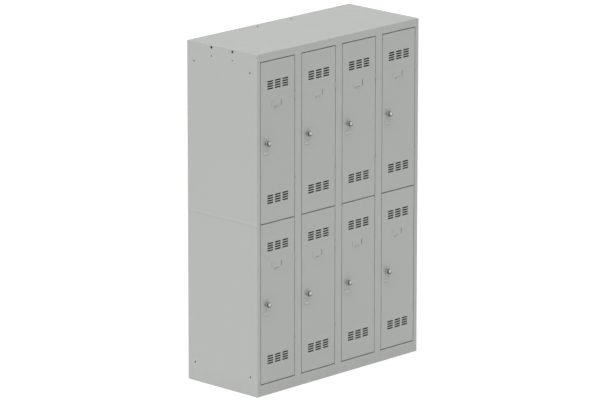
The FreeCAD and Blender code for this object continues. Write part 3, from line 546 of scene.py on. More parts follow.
def chrome_plate(name, metal, lock):
    """Plate on a casting, in zones along and about the lock's axis.

    The flange is satin and dull, and the neck and the head's back edge are bright. The head is
    smoky chrome, with a near-black band of painted shade round its side, a little duller there,
    and a painted highlight on the upper half of its face. The key plug in its middle is bright. All have
    hairline scratches and finger marks.
    """
    material = bpy.data.materials.get(name) or bpy.data.materials.new(name)
    graph = Graph(material)
    place = graph.place()
    smears = graph.noise(place, 180.0, 4.0, 0.6)
    hairs = graph.noise(graph.stretch(place, (900.0, 900.0, 5200.0)), 1.0, 2.0)
    pits = graph.noise(place, 2400.0, 1.0)
    depth = graph.split(place)[1]
    beside, above, away = nearest_lock(graph, place)
    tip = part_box("lock_knob_1")[0].y
    back = tip + lock.knob_length
    flange_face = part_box("lock_housing_1")[0].y
    plug_edge = lock.plug_radius + 0.6 * MM
    flange = depth.ramp(flange_face - 0.2 * MM, flange_face)
    head = 1 - depth.ramp(back - 4 * MM, back - 2 * MM)
    # painted shade: a near-black band round the head's side, standing in for its shaded rim; the band is
    # also made a little duller
    rim_shade_and_grease = depth.bump(back - 6 * MM, 4.5 * MM)
    face = 1 - depth.ramp(tip + 0.5 * MM, tip + 2 * MM)
    # painted highlight: the face's upper part, a little to the right, is lighter
    painted_highlight = face * (above + beside * 0.3).ramp(-2 * MM, 7 * MM)
    plug = head * (1 - away.ramp(plug_edge, plug_edge + 0.6 * MM))
    colour = graph.blend(smears.ramp(0.35, 0.75), shade(metal.chrome, 1.05), shade(metal.chrome, 0.9))
    colour = graph.blend(flange, colour, shade(metal.chrome, metal.flange_tone))
    colour = graph.blend(head * 0.95, colour, shade(metal.chrome, metal.head_tone))
    # the painted highlight on the face, then the painted shade band round the head
    colour = graph.blend(painted_highlight * 0.5, colour, shade(metal.chrome, 0.85))
    colour = graph.blend(rim_shade_and_grease * 0.9, colour, shade(metal.chrome, 0.08))
    colour = graph.blend(plug, colour, shade(metal.plug, 1.0))
    dullness = metal.chrome_roughness + smears.ramp(0.4, 0.8) * 0.14 + hairs * 0.06
    dullness = dullness + rim_shade_and_grease * 0.15 + flange * 0.3
    skin = graph.relief(hairs * 0.7 + pits * 0.3, 0.01 * MM, 0.35)
    plate = {"Base Color": colour, "Roughness": dullness, "Normal": skin, "Metallic": 1.0}
    graph.finish(graph.node("ShaderNodeBsdfPrincipled", plate))
    return material


# ---- what a user may change ----


class LockerPaint(bpy.types.PropertyGroup):
    """The powder coat on every sheet"""

    colour: FloatVectorProperty(
        name="Colour", description="Colour of the powder coat", subtype="COLOR", min=0, max=1,
        default=(0.515, 0.527, 0.509),
    )
    # also the colour of the pull plates' painted shade
    grime_and_shade: FloatVectorProperty(
        name="Grime", description="Colour of the dirt near the floor and where hands pull",
        subtype="COLOR", min=0, max=1, default=(0.33, 0.32, 0.3),
    )
    grime_height: FloatProperty(
        name="Grime height", description="How high the dirt reaches", default=90 * MM, min=1 * MM,
        unit="LENGTH",
    )
    roughness: FloatProperty(
        name="Roughness", description="How dull the coat is",
        default=0.5, min=0, max=1, subtype="FACTOR",
    )
    reflection: FloatProperty(
        name="Reflection", description="How strongly the coat reflects", default=0.35, min=0, max=1,
        subtype="FACTOR",
    )
    peel_depth: FloatProperty(
        name="Orange peel", description="Depth of the coat's fine texture",
        default=0.05 * MM, min=0,
        unit="LENGTH", precision=6,
    )
    wave_depth: FloatProperty(
        name="Sheet waves", description="How far the sheet waves in and out",
        default=0.7 * MM, min=0,
        unit="LENGTH", precision=6,
    )


class LockerMetal(bpy.types.PropertyGroup):
    """The plated metal of the locks, pins, coat rails and hooks"""

    zinc: FloatVectorProperty(
        name="Zinc", description="Colour of the zinc plate", subtype="COLOR", min=0, max=1,
        default=(0.6, 0.61, 0.62),
    )
    tinge: FloatVectorProperty(
        name="Tinge", description="Warm tinge of the zinc plate", subtype="COLOR", min=0, max=1,
        default=(0.6, 0.56, 0.45),
    )
    zinc_roughness: FloatProperty(
        name="Zinc roughness", description="How dull the zinc plate is", default=0.36, min=0, max=1,
        subtype="FACTOR",
    )
    chrome: FloatVectorProperty(
        name="Chrome", description="Colour of the plated lock", subtype="COLOR", min=0, max=1,
        default=(0.79, 0.8, 0.77),
    )
    flange_tone: FloatProperty(
        name="Flange tone", description="Brightness of the flange beside the neck", default=0.5,
        min=0, max=1, subtype="FACTOR",
    )
    head_tone: FloatProperty(
        name="Head tone", description="Brightness of the knob's head beside the neck", default=0.17,
        min=0, max=1, subtype="FACTOR",
    )
    plug: FloatVectorProperty(
        name="Plug", description="Colour of the key plug", subtype="COLOR", min=0, max=1,
        default=(0.64, 0.65, 0.62),
    )
    chrome_roughness: FloatProperty(
        name="Chrome roughness", description="How dull the plated lock is",
        default=0.2, min=0, max=1,
        subtype="FACTOR",
    )


class LockerPlate(bpy.types.PropertyGroup):
    """The pull plate under each lock"""

    gauge: FloatProperty(
        name="Gauge", description="Thickness of the pull plate", default=1.2 * MM, min=0.1 * MM,
        unit="LENGTH",
    )
    corner: FloatProperty(
        name="Corner", description="Radius of the plate's upper corners",
        default=4 * MM, unit="LENGTH",
    )
    hole: FloatProperty(
        name="Hole", description="Radius of the hole for the lock", default=9.2 * MM, unit="LENGTH",
    )
    lip_drop: FloatProperty(
        name="Lip drop", description="How far the lip goes down", default=6.5 * MM, unit="LENGTH",
    )
    lip_reach: FloatProperty(
        name="Lip reach", description="How far the lip comes forward",
        default=7 * MM, unit="LENGTH",
    )
    bend: FloatProperty(
        name="Bend", description="Radius of the lip's bend at the rear face",
        default=4 * MM, unit="LENGTH",
    )


class LockerLock(bpy.types.PropertyGroup):
    """Each lock, from its knob to its cam"""

    flange_radius: FloatProperty(
        name="Flange", description="Radius of the lock's flange", default=14 * MM, unit="LENGTH",
    )
    flange_thickness: FloatProperty(
        name="Flange thickness", description="Thickness of the flange",
        default=3 * MM, unit="LENGTH",
    )
    barrel_radius: FloatProperty(
        name="Barrel", description="Radius of the lock's barrel", default=9 * MM, unit="LENGTH",
    )
    spindle_radius: FloatProperty(
        name="Spindle", description="Radius of the knob's spindle", default=6 * MM, unit="LENGTH",
    )
    knob_radius: FloatProperty(
        name="Knob", description="Radius of the knob", default=14.5 * MM, unit="LENGTH",
    )
    knob_length: FloatProperty(
        name="Knob length", description="Length of the knob's head",
        default=10.5 * MM, unit="LENGTH",
    )
    neck_radius: FloatProperty(
        name="Neck", description="Radius of the neck behind the knob's head",
        default=8 * MM, unit="LENGTH",
    )
    plug_radius: FloatProperty(
        name="Plug", description="Radius of the key plug", default=5.5 * MM, unit="LENGTH",
    )
    plug_recess: FloatProperty(
        name="Plug recess", description="How far the plug lies behind the knob's face",
        default=0.8 * MM,
        unit="LENGTH",
    )
    slot_width: FloatProperty(
        name="Slot width", description="Width of the key slot", default=1.4 * MM, unit="LENGTH",
    )
    slot_length: FloatProperty(
        name="Slot length", description="Length of the key slot", default=7 * MM, unit="LENGTH",
    )
    slot_depth: FloatProperty(
        name="Slot depth", description="Depth of the key slot", default=4 * MM, unit="LENGTH",
    )
    sheet: FloatProperty(
        name="Door sheet", description="Thickness of the door sheet that the lock goes through",
        default=0.8 * MM, unit="LENGTH",
    )
    nut_length: FloatProperty(
        name="Nut", description="Thickness of the nut that holds the barrel",
        default=5 * MM, unit="LENGTH",
    )
    cam_gauge: FloatProperty(
        name="Cam", description="Thickness of the cam", default=2 * MM, unit="LENGTH",
    )
    cam_width: FloatProperty(
        name="Cam width", description="Width of the cam", default=16 * MM, unit="LENGTH",
    )
    cam_eye: FloatProperty(
        name="Cam eye", description="Radius of the cam's round eye", default=10 * MM, unit="LENGTH",
    )
    cam_nut_radius: FloatProperty(
        name="Cam nut", description="Radius of the cam's nut at its corners",
        default=9 * MM, unit="LENGTH",
    )
    cam_nut_length: FloatProperty(
        name="Cam nut length", description="Thickness of the cam's nut",
        default=4 * MM, unit="LENGTH",
    )
    sides: IntProperty(
        name="Sides", description="Faces round each turned part, a multiple of 24", default=96,
        min=24, max=240,
    )


class LockerHinge(bpy.types.PropertyGroup):
    """Each hinge, with its two halves and its pin"""

    knuckle_radius: FloatProperty(
        name="Knuckle", description="Outer radius of the knuckle", default=3.5 * MM, unit="LENGTH",
    )
    knuckle_length: FloatProperty(
        name="Knuckle length", description="Length of the door's knuckle",
        default=28 * MM, unit="LENGTH",
    )
    lug_length: FloatProperty(
        name="Lug length", description="Length of the frame's knuckle",
        default=10 * MM, unit="LENGTH",
    )
    play: FloatProperty(
        name="Play", description="Gap between the two knuckles", default=0.4 * MM, unit="LENGTH",
    )
    pin_radius: FloatProperty(
        name="Pin", description="Radius of the hinge pin", default=2 * MM, unit="LENGTH",
    )
    head_radius: FloatProperty(
        name="Pin head", description="Radius of the pin's head", default=3 * MM, unit="LENGTH",
    )
    head_length: FloatProperty(
        name="Head length", description="Thickness of the pin's head",
        default=1.5 * MM, unit="LENGTH",
    )
    leaf_gauge: FloatProperty(
        name="Leaf", description="Thickness of the leaf", default=1 * MM, unit="LENGTH",
    )
    leaf_depth: FloatProperty(
        name="Leaf depth", description="Depth of the leaf, front to rear",
        default=13 * MM, unit="LENGTH",
    )


class LockerRail(bpy.types.PropertyGroup):
    """The coat rails and their hooks"""

    height: FloatProperty(
        name="Rail height", description="Height of the coat rail", default=30 * MM, unit="LENGTH",
    )
    wall: FloatProperty(
        name="Rail wall", description="Wall of the coat rail's tube",
        default=1.5 * MM, unit="LENGTH",
    )
    corner: FloatProperty(
        name="Rail corner", description="Radius of the tube's corners",
        default=2.6 * MM, unit="LENGTH",
    )
    hook_width: FloatProperty(
        name="Hook width", description="Width of a hook", default=12 * MM, unit="LENGTH",
    )
    hook_gauge: FloatProperty(
        name="Hook gauge", description="Thickness of a hook", default=2 * MM, unit="LENGTH",
    )
    hook_tip: FloatProperty(
        name="Hook tip", description="Height of a hook's tip", default=12 * MM, unit="LENGTH",
    )
    hook_spacing: FloatProperty(
        name="Hook spacing", description="Distance between a rail's hooks",
        default=110 * MM, unit="LENGTH",
    )


class LockerStage(bpy.types.PropertyGroup):
    """The camera, the lamps and the floor"""

    azimuth: FloatProperty(
        name="Azimuth", description="Direction of the view",
        default=math.radians(-46.035), subtype="ANGLE",
    )
    elevation: FloatProperty(
        name="Elevation", description="Height of the view above level",
        default=math.radians(14.587),
        subtype="ANGLE",
    )
    roll: FloatProperty(
        name="Roll", description="Tilt of the view", default=math.radians(0.063), subtype="ANGLE",
    )
    place: FloatVectorProperty(
        name="Camera place", description="Where the camera stands", subtype="TRANSLATION",
        default=(-18.9177, -18.2054, 7.72495),
    )
    lens: FloatProperty(name="Lens", description="Focal length in millimetres", default=313.583, min=1)
    sky: FloatProperty(
        name="Sky", description="Strength of the even light from all round", default=0.46, min=0,
    )
    key: FloatProperty(
        name="Key light", description="Strength of the soft light from the upper left",
        default=0.94, min=0,
    )
    key_direction: FloatVectorProperty(
        name="Key direction", description="Where the key light comes from", subtype="DIRECTION",
        default=(-0.585, -0.36, 0.727),
    )
    key_spread: FloatProperty(
        name="Key spread", description="How wide the key light is", default=math.radians(65),
        subtype="ANGLE",
    )
    overhead: FloatProperty(
        name="Overhead light", description="Strength of the wide light from above",
        default=0.56, min=0,
    )
    side: FloatProperty(
        name="Side light", description="Strength of the wide light on the left side",
        default=0.4, min=0,
    )
    side_direction: FloatVectorProperty(
        name="Side direction", description="Where the side light comes from",
        default=(-0.958, 0.0, 0.287),
        subtype="DIRECTION",
    )
    wide_spread: FloatProperty(
        name="Wide spread", description="How wide the overhead and side lights are",
        default=math.radians(80), subtype="ANGLE",
    )
    floor_radius: FloatProperty(
        name="Floor radius", description="Size of the floor", default=16.0, min=1, unit="LENGTH",
    )
    floor_colour: FloatVectorProperty(
        name="Floor", description="Colour of the floor", subtype="COLOR", min=0, max=1,
        default=(0.85, 0.85, 0.85),
    )


# ---- operators ----


class LOCKER_OT_sheets(bpy.types.Operator):
    """Gives every folded sheet its powder coat"""

    bl_idname = "locker.sheets"
    bl_label = "Folded sheets"

    def execute(self, context):
        paint = context.scene.locker_paint
        coats = {
            "side_panel": powder_coat("side_coat", paint, marks=wall_marks),
            "door_panel": powder_coat("door_coat", paint, marks=door_marks),
            "top_panel": powder_coat("roof_coat", paint, marks=roof_marks),
            "": powder_coat("cabinet_coat", paint),
        }
        for name, node in frame["nodes"].items():
            coat = next(coats[start] for start in coats if name.startswith(start))
            for slot in node.material_slots:
                slot.material = coat
        return {"FINISHED"}


class LOCKER_OT_pull_plates(bpy.types.Operator):
    """Adds the plate under each lock: a sheet whose lower end bends out into a finger lip"""

    bl_idname = "locker.pull_plates"
    bl_label = "Pull plates"

    def execute(self, context):
        sizes = context.scene.locker_plate
        # the plate's coat is painted lighter: a painted highlight that stays on the lip where the flat
        # face is darkened
        coat = powder_coat("plate_lip_lit_coat", context.scene.locker_paint, tone=1.08, marks=plate_dirt_and_lip_light)
        low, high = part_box("pull_plate_1")
        axis = JOINTS["lock_1_turn"]
        shell = weld(self.bent(sizes, high.x - low.x, high.z - axis.z, axis.z - low.z), True, True)
        for number in DOORS:
            place = JOINTS[f"lock_{number}_turn"]
            parts = [(moved(shell, place), coat)]
            name = f"finger_plate_{number}"
            piece(name, parts, f"door_{number}", "plate_paint", f"pull_plate_{number}")
        return {"FINISHED"}

    def bent(self, sizes, width, rise, drop):
        """The flat plate about the lock's axis, its lower end rolled forwards round the bend.

        Down the sheet, a point's turn is its way past the bend's start over the bend's radius,
        held between 0 and the lip's slope. It lies on the rear face's curve, with its height
        above that face along the turned normal.
        """
        slope = math.atan2(sizes.lip_reach, sizes.lip_drop)
        tangent = sizes.bend * math.tan(slope / 2)
        lip = math.hypot(sizes.lip_reach, sizes.lip_drop) - tangent
        start = drop - sizes.lip_drop - tangent
        length = start + sizes.bend * slope + lip
        corners = [(-width / 2, -length), (width / 2, -length), (width / 2, rise), (-width / 2, rise)]
        radii = [1.5 * MM, 1.5 * MM, sizes.corner, sizes.corner]
        outline = spaced(rounded(corners, radii), 1.5 * MM)
        flat = holed(outline, sizes.hole, sizes.gauge, edge=0.3 * MM, rings=44)
        down = -flat[..., 1]
        turn = np.clip((down - start) / sizes.bend, 0, slope)
        past = np.maximum(down - start - sizes.bend * slope, 0)
        above = sizes.gauge - flat[..., 2]
        forward = sizes.bend * (1 - np.cos(turn)) + past * math.sin(slope) + above * np.cos(turn)
        below = np.minimum(down, start) + sizes.bend * np.sin(turn) + past * math.cos(slope)
        below = below - above * np.sin(turn)
        return np.stack([flat[..., 0], -forward, -below], -1)


class LOCKER_OT_locks(bpy.types.Operator):
    """Adds each lock: flange and barrel with their nut, and the knob with its spindle, cam and nut"""

    bl_idname = "locker.locks"
    bl_label = "Locks"

    def execute(self, context):
        sizes = context.scene.locker_lock
        metal = context.scene.locker_metal
        chrome = chrome_plate("lock_chrome_finish", metal, sizes)
        zinc = zinc_plate("zinc_finish", metal)
        axis = JOINTS["lock_1_turn"]
        body_low, body_high = (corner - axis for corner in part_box("lock_housing_1"))
        knob_low, knob_high = (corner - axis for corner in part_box("lock_knob_1"))
        nut_end = sizes.sheet + sizes.nut_length
        cam_end = knob_high.y - sizes.cam_nut_length
        cam_start = cam_end - sizes.cam_gauge
        housing = [
            (self.flange(sizes, body_low.y, body_high.y), chrome),
            (self.nut(body_high.x, sizes.barrel_radius, sizes.sheet, nut_end), zinc),
        ]
        turner = [
            (self.knob(sizes, body_low.y, knob_low.y, knob_high.y), chrome),
            (self.cam(sizes, cam_start, -knob_low.z), zinc),
            (self.nut(sizes.cam_nut_radius, sizes.spindle_radius, cam_end, knob_high.y), zinc),
        ]
        for number in DOORS:
            place = JOINTS[f"lock_{number}_turn"]
            name = f"lock_body_{number}"
            parts = [(moved(shell, place), material) for shell, material in housing]
            piece(name, parts, f"door_{number}", "lock_chrome", f"lock_housing_{number}")
            name = f"lock_turner_{number}"
            parts = [(moved(shell, place), material) for shell, material in turner]
            piece(name, parts, f"lock_{number}", "lock_chrome", f"lock_knob_{number}")
        return {"FINISHED"}

    def flange(self, sizes, face, end):
        """A dished flange with a rolled rim and the barrel behind it, turned about the lock's axis."""
        bore = sizes.spindle_radius + FIT
        rear = face + sizes.flange_thickness
        corners = [
            (bore, face + 0.9 * MM),
            (sizes.flange_radius - 3.6 * MM, face + 0.9 * MM),
            (sizes.flange_radius - 2.4 * MM, face),
            (sizes.flange_radius, face),
            (sizes.flange_radius, rear),
            (sizes.barrel_radius, rear),
            (sizes.barrel_radius, end),
            (bore, end),
        ]
        radii = np.array([0.1, 0.5, 0.6, 1.3, 0.3, 0.2, 0.5, 0.2]) * MM
        return weld(turned(rounded(corners, radii), sizes.sides), True, True)

    def nut(self, corner, bore, start, end):
        """A hexagon nut: a ring with chamfered ends, held in by the six flats."""
        flat = corner * math.cos(math.pi / 6)
        chamfer = corner - flat
        corners = [
            (bore, start),
            (corner - chamfer, start),
            (corner, start + chamfer * 0.5),
            (corner, end - chamfer * 0.5),
            (corner - chamfer, end),
            (bore, end),
        ]
        ring = spaced(rounded(corners, 0.15 * MM, steps=2), 0.8 * MM)
        return weld(turned(ring, NUT_SIDES, hexagon(flat, NUT_SIDES)), True, True)

    def knob(self, sizes, flange, tip, end):
        """Knob, plug, neck and spindle turned in one, from the key slot's floor to the spindle's end.

        The first rows are held in by the key slot's walls, the next by its chamfer, and the rest
        are full circles.
        """
        plug = sizes.plug_radius
        face = tip + sizes.plug_recess
        slot_end = face + sizes.slot_depth
        back = tip + sizes.knob_length
        corners = [
            (plug + 0.9 * MM, face),
            (plug + 1.1 * MM, tip + 0.1 * MM),
            (sizes.knob_radius - 0.6 * MM, tip),
            (sizes.knob_radius, back),
            (sizes.neck_radius, back),
            (sizes.neck_radius, flange - 0.3 * MM),
            (sizes.spindle_radius, flange - 0.3 * MM),
            (sizes.spindle_radius, end),
            (0, end),
        ]
        radii = np.array([0, 0.3, 2.8, 1.6, 0.8, 0.3, 0.1, 0.6, 0]) * MM
        body = rounded(corners, radii, closed=False)
        reach = sizes.slot_length / 2 + 0.5 * MM
        slot = np.array([(0, slot_end), (reach, slot_end), (reach, face + 0.3 * MM)])
        plug_face = np.array(
            [(reach + 0.2 * MM, face), (plug - 0.4 * MM, face), (plug, face + 0.5 * MM)]
        )
        groove = np.array([(plug + 0.3 * MM, face + 0.6 * MM)])
        profile = np.vstack([slot, plug_face, groove, body])
        limit = np.full((len(profile), sizes.sides), math.inf)
        rows = len(slot)
        limit[:rows] = slotted(sizes.slot_width, sizes.slot_length, sizes.sides)
        limit[rows] = limit[0] + 0.25 * MM
        return weld(turned(profile, sizes.sides, limit), False, True)

    def cam(self, sizes, start, length):
        """A flat bar with a round eye, hanging from the spindle."""
        eye = sizes.cam_eye
        half = sizes.cam_width / 2
        waist = math.asin(half / eye)
        angle = np.linspace(waist - math.pi / 2, 1.5 * math.pi - waist, 40)
        bow = np.stack([eye * np.cos(angle), eye * np.sin(angle)], -1)
        tail = rounded(
            [bow[-1], (-half, -length), (half, -length), bow[0]], [0, 3 * MM, 3 * MM, 0], closed=False
        )
        outline = spaced(np.vstack([bow, tail[1:-1]]), 1.6 * MM)
        flat = holed(outline, sizes.spindle_radius, sizes.cam_gauge, edge=0.35 * MM, rings=20)
        points = np.stack([flat[..., 0], start + flat[..., 2], flat[..., 1]], -1)
        return weld(points, True, True)


class LOCKER_OT_hinges(bpy.types.Operator):
    """Adds the hinges: a rolled knuckle and leaf on each side, and the headed pin through both"""

    bl_idname = "locker.hinges"
    bl_label = "Hinges"

    def execute(self, context):
        sizes = context.scene.locker_hinge
        # the hinge coat is painted darker: painted shade for the knuckles that stand in the door gap
        coat = powder_coat("hinge_shaded_coat", context.scene.locker_paint, tone=0.8)
        zinc = zinc_plate("zinc_finish", context.scene.locker_metal)
        fixed, pins = [], []
        for number in DOORS:
            line = JOINTS[f"door_{number}_hinge"]
            low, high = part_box(f"door_hinges_{number}")
            half_gap = line.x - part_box(f"door_panel_{number}")[1].x
            hinge = (line, half_gap, high.y - line.y)
            halves = []
            for outer, way in ((high.z, -1), (low.z, 1)):
                lug_end = outer + way * sizes.lug_length
                start, reach = sizes.play, sizes.play + sizes.knuckle_length
                knuckle = (lug_end + way * start, lug_end + way * reach)
                whole = (outer, knuckle[1])
                halves += [(shell, coat) for shell in self.half(sizes, hinge, -1, knuckle, whole)]
                fixed += [(shell, coat) for shell in self.half(sizes, hinge, 1, (outer, lug_end), whole)]
                pins.append((self.pin(sizes, line, outer, way), zinc))
            name = f"hinge_door_halves_{number}"
            piece(name, halves, f"door_{number}", "hinge_paint", f"door_hinges_{number}")
        piece("hinge_frame_halves", fixed, "carcass", "hinge_paint", "hinge_brackets")
        piece("hinge_pin_set", pins, "carcass", "zinc_steel", "hinge_pins")
        return {"FINISHED"}

    def half(self, sizes, hinge, inward, span, whole):
        """One side's knuckle, a strip rolled nearly full circle about the pin, and its leaf.

        hinge is the pin's line, half the gap about it, and how far the leaf's rear edge lies behind
        it. The roll's points lie at the middle of its wall, and its gap faces the leaf.
        """
        line, half_gap, rear = hinge
        bore = sizes.pin_radius + (FIT if inward < 0 else 0)
        wall = sizes.knuckle_radius - bore
        radius = bore + wall / 2
        roll_start, roll_sweep = math.radians(62), math.radians(342)
        turn = np.linspace(roll_start, roll_start + roll_sweep, 48)
        roll = np.stack([-inward * radius * np.cos(turn), radius * np.sin(turn)], -1)
        leaf = inward * (half_gap - sizes.leaf_gauge / 2)
        leaf_front = rear - sizes.leaf_depth
        shells = []
        strips = (
            (roll, wall, span),
            (np.array([(leaf, radius * 0.7), (leaf, leaf_front)]), sizes.leaf_gauge, span),
            (np.array([(leaf, leaf_front), (leaf, rear)]), sizes.leaf_gauge, whole),
        )
        for path, thickness, (start, end) in strips:
            section = rounded(rectangle(thickness, abs(end - start)), 0.25 * MM, steps=3)
            points = swept(path, section) + (line.x, line.y, (start + end) / 2)
            shells.append(weld(points, False, True))
        return shells

    def pin(self, sizes, line, outer, way):
        """A headed pin turned about the hinge line, its head beyond the lug's outer end."""
        length = sizes.lug_length + sizes.knuckle_length - sizes.play
        corners = [
            (0, -sizes.head_length),
            (sizes.head_radius, -sizes.head_length),
            (sizes.head_radius, 0),
            (sizes.pin_radius, 0),
            (sizes.pin_radius, length),
            (0, length),
        ]
        radii = np.array([0, 0.9, 0.2, 0.1, 0.5, 0]) * MM
        points = turned(rounded(corners, radii, closed=False), PIN_SIDES)
        upright = np.stack([points[..., 0], points[..., 2], way * points[..., 1]], -1)
        return weld(upright + (line.x, line.y, outer), False, True)


class LOCKER_OT_coat_rails(bpy.types.Operator):
    """Adds a tube across each compartment and the folded hooks on its face"""

    bl_idname = "locker.coat_rails"
    bl_label = "Coat rails and hooks"

    def execute(self, context):
        sizes = context.scene.locker_rail
        zinc = zinc_plate("zinc_finish", context.scene.locker_metal)
        low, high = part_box("coat_rails")
        hooks_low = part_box("coat_hooks")[0]
        last_partition = (COLUMNS / 2 - 1) * COLUMN_PITCH
        gauge = 2 * (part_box("partition_panels")[1].x - last_partition)
        thickness = high.y - low.y
        drop = low.z - hooks_low.z
        tubes, hooks = [], []
        for column in range(COLUMNS):
            start = (column - COLUMNS / 2) * COLUMN_PITCH
            left = max(start + gauge / 2, low.x)
            right = min(start + COLUMN_PITCH - gauge / 2, high.x)
            for top in (high.z, low.z + sizes.height):
                middle = np.array([0, (low.y + high.y) / 2, top - sizes.height / 2])
                tubes.append((moved(self.bar(sizes, thickness, left, right), middle), zinc))
                for side in (-1, 1):
                    place = ((left + right) / 2 + side * sizes.hook_spacing / 2, low.y, top)
                    reach = low.y - hooks_low.y
                    hooks.append((moved(self.hook(sizes, sizes.height + drop, reach), place), zinc))
        piece("coat_rail_tubes", tubes, "carcass", "zinc_steel", "coat_rails")
        piece("coat_rail_hooks", hooks, "carcass", "zinc_steel", "coat_hooks")
        return {"FINISHED"}

    def bar(self, sizes, thickness, left, right):
        """A round-cornered tube between two sheets."""
        outer = rounded(rectangle(thickness, sizes.height), sizes.corner)
        inset = 2 * sizes.wall
        inner = rounded(rectangle(thickness - inset, sizes.height - inset), sizes.corner - sizes.wall)
        return weld(tube(outer, inner, left, right), True, True)

    def hook(self, sizes, height, reach):
        """A strip down the rail's face, forwards and up to a round tip, about the strip's middle line.

        The tip narrows as a half ellipse: its width is the root of 1 - share squared.
        """
        half = sizes.hook_gauge / 2
        corners = [
            (-half, 0),
            (-half, half - height),
            (half - reach, half - height),
            (half - reach, sizes.hook_tip - height),
        ]
        line = rounded(corners, [0, 5 * MM, 5 * MM, 0], closed=False, steps=12)
        line = spaced(line, 1.0 * MM, closed=False)
        left = np.linalg.norm(line - line[-1], axis=1)
        share = np.clip(1 - left / (sizes.hook_width / 2), 0, 0.97)
        taper = np.sqrt(1 - share**2)
        section = rounded(rectangle(sizes.hook_gauge, sizes.hook_width), 0.6 * MM, steps=3)
        points = swept(line, section, taper)
        return weld(np.stack([points[..., 2], points[..., 0], points[..., 1]], -1), False, True)


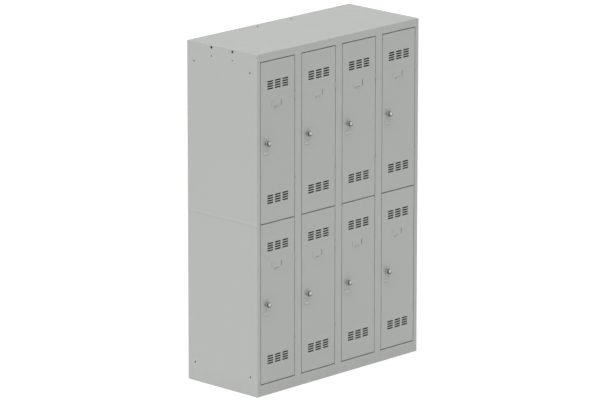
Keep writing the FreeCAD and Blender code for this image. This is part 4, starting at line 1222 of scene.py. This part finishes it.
class LOCKER_OT_stage(bpy.types.Operator):
    """Adds the pale floor, the even light, three soft lamps and the camera"""

    bl_idname = "locker.stage"
    bl_label = "Stage"

    def execute(self, context):
        stage = context.scene.locker_stage
        context.scene.view_settings.view_transform = "Standard"
        self.floor(context, stage)
        self.world(context, stage)
        self.lamp(context, "key_light", stage.key, stage.key_spread, stage.key_direction)
        self.lamp(context, "overhead_light", stage.overhead, stage.wide_spread, (0.0, 0.0, 1.0))
        self.lamp(context, "side_light", stage.side, stage.wide_spread, stage.side_direction)
        self.camera(context, stage)
        return {"FINISHED"}

    def floor(self, context, stage):
        """A round floor just under the cabinet, in rings about its middle."""
        ring = np.linspace(0, 1, 12) ** 2 * stage.floor_radius
        angle = np.linspace(0, 2 * math.pi, 96, endpoint=False)
        circle = np.stack([np.cos(angle), np.sin(angle), np.zeros_like(angle)], -1)
        points = ring[:, None, None] * circle + (0, 0, -0.2 * MM)
        shell = weld(points[::-1], False, True)
        mesh = bpy.data.meshes.new("floor")
        faces = [[corner for corner in face if corner >= 0] for face in shell[1].tolist()]
        mesh.from_pydata(shell[0].tolist(), [], faces)
        mesh.materials.append(self.floor_paint(stage))
        made = bpy.data.objects.new("floor", mesh)
        context.scene.collection.objects.link(made)

    def floor_paint(self, stage):
        """Matt and pale. Where it is seen it is near white, and only partly darkened by the shadow."""
        material = bpy.data.materials.new("floor_paint")
        graph = Graph(material)
        cloud = graph.noise(graph.place(), 2.0, 3.0)
        tone = graph.blend(cloud, shade(stage.floor_colour, 0.99), shade(stage.floor_colour, 1.01))
        matt = graph.node("ShaderNodeBsdfDiffuse", {"Color": tone})
        soft = graph.node("ShaderNodeBsdfDiffuse", {"Color": shade(stage.floor_colour, 0.45)})
        glow = graph.node("ShaderNodeEmission", {"Strength": 0.74})
        pale = graph.node("ShaderNodeAddShader", [soft, glow])
        graph.finish(graph.node("ShaderNodeMixShader", [seen_rays(graph), matt, pale]))
        return material

    def world(self, context, stage):
        """Even light from all round, and white where the camera sees it."""
        world = bpy.data.worlds.new("studio")
        context.scene.world = world
        graph = Graph(world)
        light = graph.node("ShaderNodeBackground", {"Color": (1, 1, 1, 1), "Strength": stage.sky})
        white = graph.node("ShaderNodeBackground", {"Color": (1, 1, 1, 1), "Strength": 1.0})
        mixed = graph.node("ShaderNodeMixShader", [seen_rays(graph), light, white])
        graph.finish(mixed, "ShaderNodeOutputWorld")

    def lamp(self, context, name, strength, spread, direction):
        """A wide sun lamp that shines from a direction."""
        lamp = bpy.data.lights.new(name, "SUN")
        lamp.energy = strength
        lamp.angle = spread
        made = bpy.data.objects.new(name, lamp)
        made.rotation_mode = "QUATERNION"
        made.rotation_quaternion = Vector(direction).to_track_quat("Z", "Y")
        context.scene.collection.objects.link(made)

    def camera(self, context, stage):
        """A long lens, turned to its azimuth, raised to its elevation and rolled."""
        lens = bpy.data.cameras.new("view")
        lens.lens = stage.lens
        lens.sensor_width = 36.0
        lens.clip_end = 200.0
        made = bpy.data.objects.new("view", lens)
        turn = Matrix.Rotation(stage.azimuth, 4, "Z")
        tilt = Matrix.Rotation(math.pi / 2 - stage.elevation, 4, "X")
        roll = Matrix.Rotation(stage.roll, 4, "Z")
        made.matrix_world = Matrix.Translation(stage.place) @ turn @ tilt @ roll
        context.scene.collection.objects.link(made)
        context.scene.camera = made


class LOCKER_PT_panel(bpy.types.Panel):
    """Lists the parts of the locker cabinet with their sizes and colours"""

    bl_idname = "LOCKER_PT_panel"
    bl_label = "Locker Cabinet"
    bl_space_type = "VIEW_3D"
    bl_region_type = "UI"
    bl_category = "Locker"

    def draw(self, context):
        for name, kind in GROUPS.items():
            box = self.layout.box()
            for prop in kind.__annotations__:
                box.prop(getattr(context.scene, name), prop)
        for operator in OPERATORS:
            self.layout.operator(operator.bl_idname)


GROUPS = {
    "locker_paint": LockerPaint,
    "locker_metal": LockerMetal,
    "locker_plate": LockerPlate,
    "locker_lock": LockerLock,
    "locker_hinge": LockerHinge,
    "locker_rail": LockerRail,
    "locker_stage": LockerStage,
}
OPERATORS = [
    LOCKER_OT_sheets,
    LOCKER_OT_pull_plates,
    LOCKER_OT_locks,
    LOCKER_OT_hinges,
    LOCKER_OT_coat_rails,
    LOCKER_OT_stage,
]


def register():
    for kind in [*GROUPS.values(), *OPERATORS, LOCKER_PT_panel]:
        bpy.utils.register_class(kind)
    for name, kind in GROUPS.items():
        setattr(bpy.types.Scene, name, PointerProperty(type=kind))


def unregister():
    for name in GROUPS:
        delattr(bpy.types.Scene, name)
    for kind in reversed([*GROUPS.values(), *OPERATORS, LOCKER_PT_panel]):
        bpy.utils.unregister_class(kind)


def main():
    register()
    bpy.ops.locker.sheets()
    bpy.ops.locker.pull_plates()
    bpy.ops.locker.locks()
    bpy.ops.locker.hinges()
    bpy.ops.locker.coat_rails()
    bpy.ops.locker.stage()


if __name__ == "__main__":
    main()
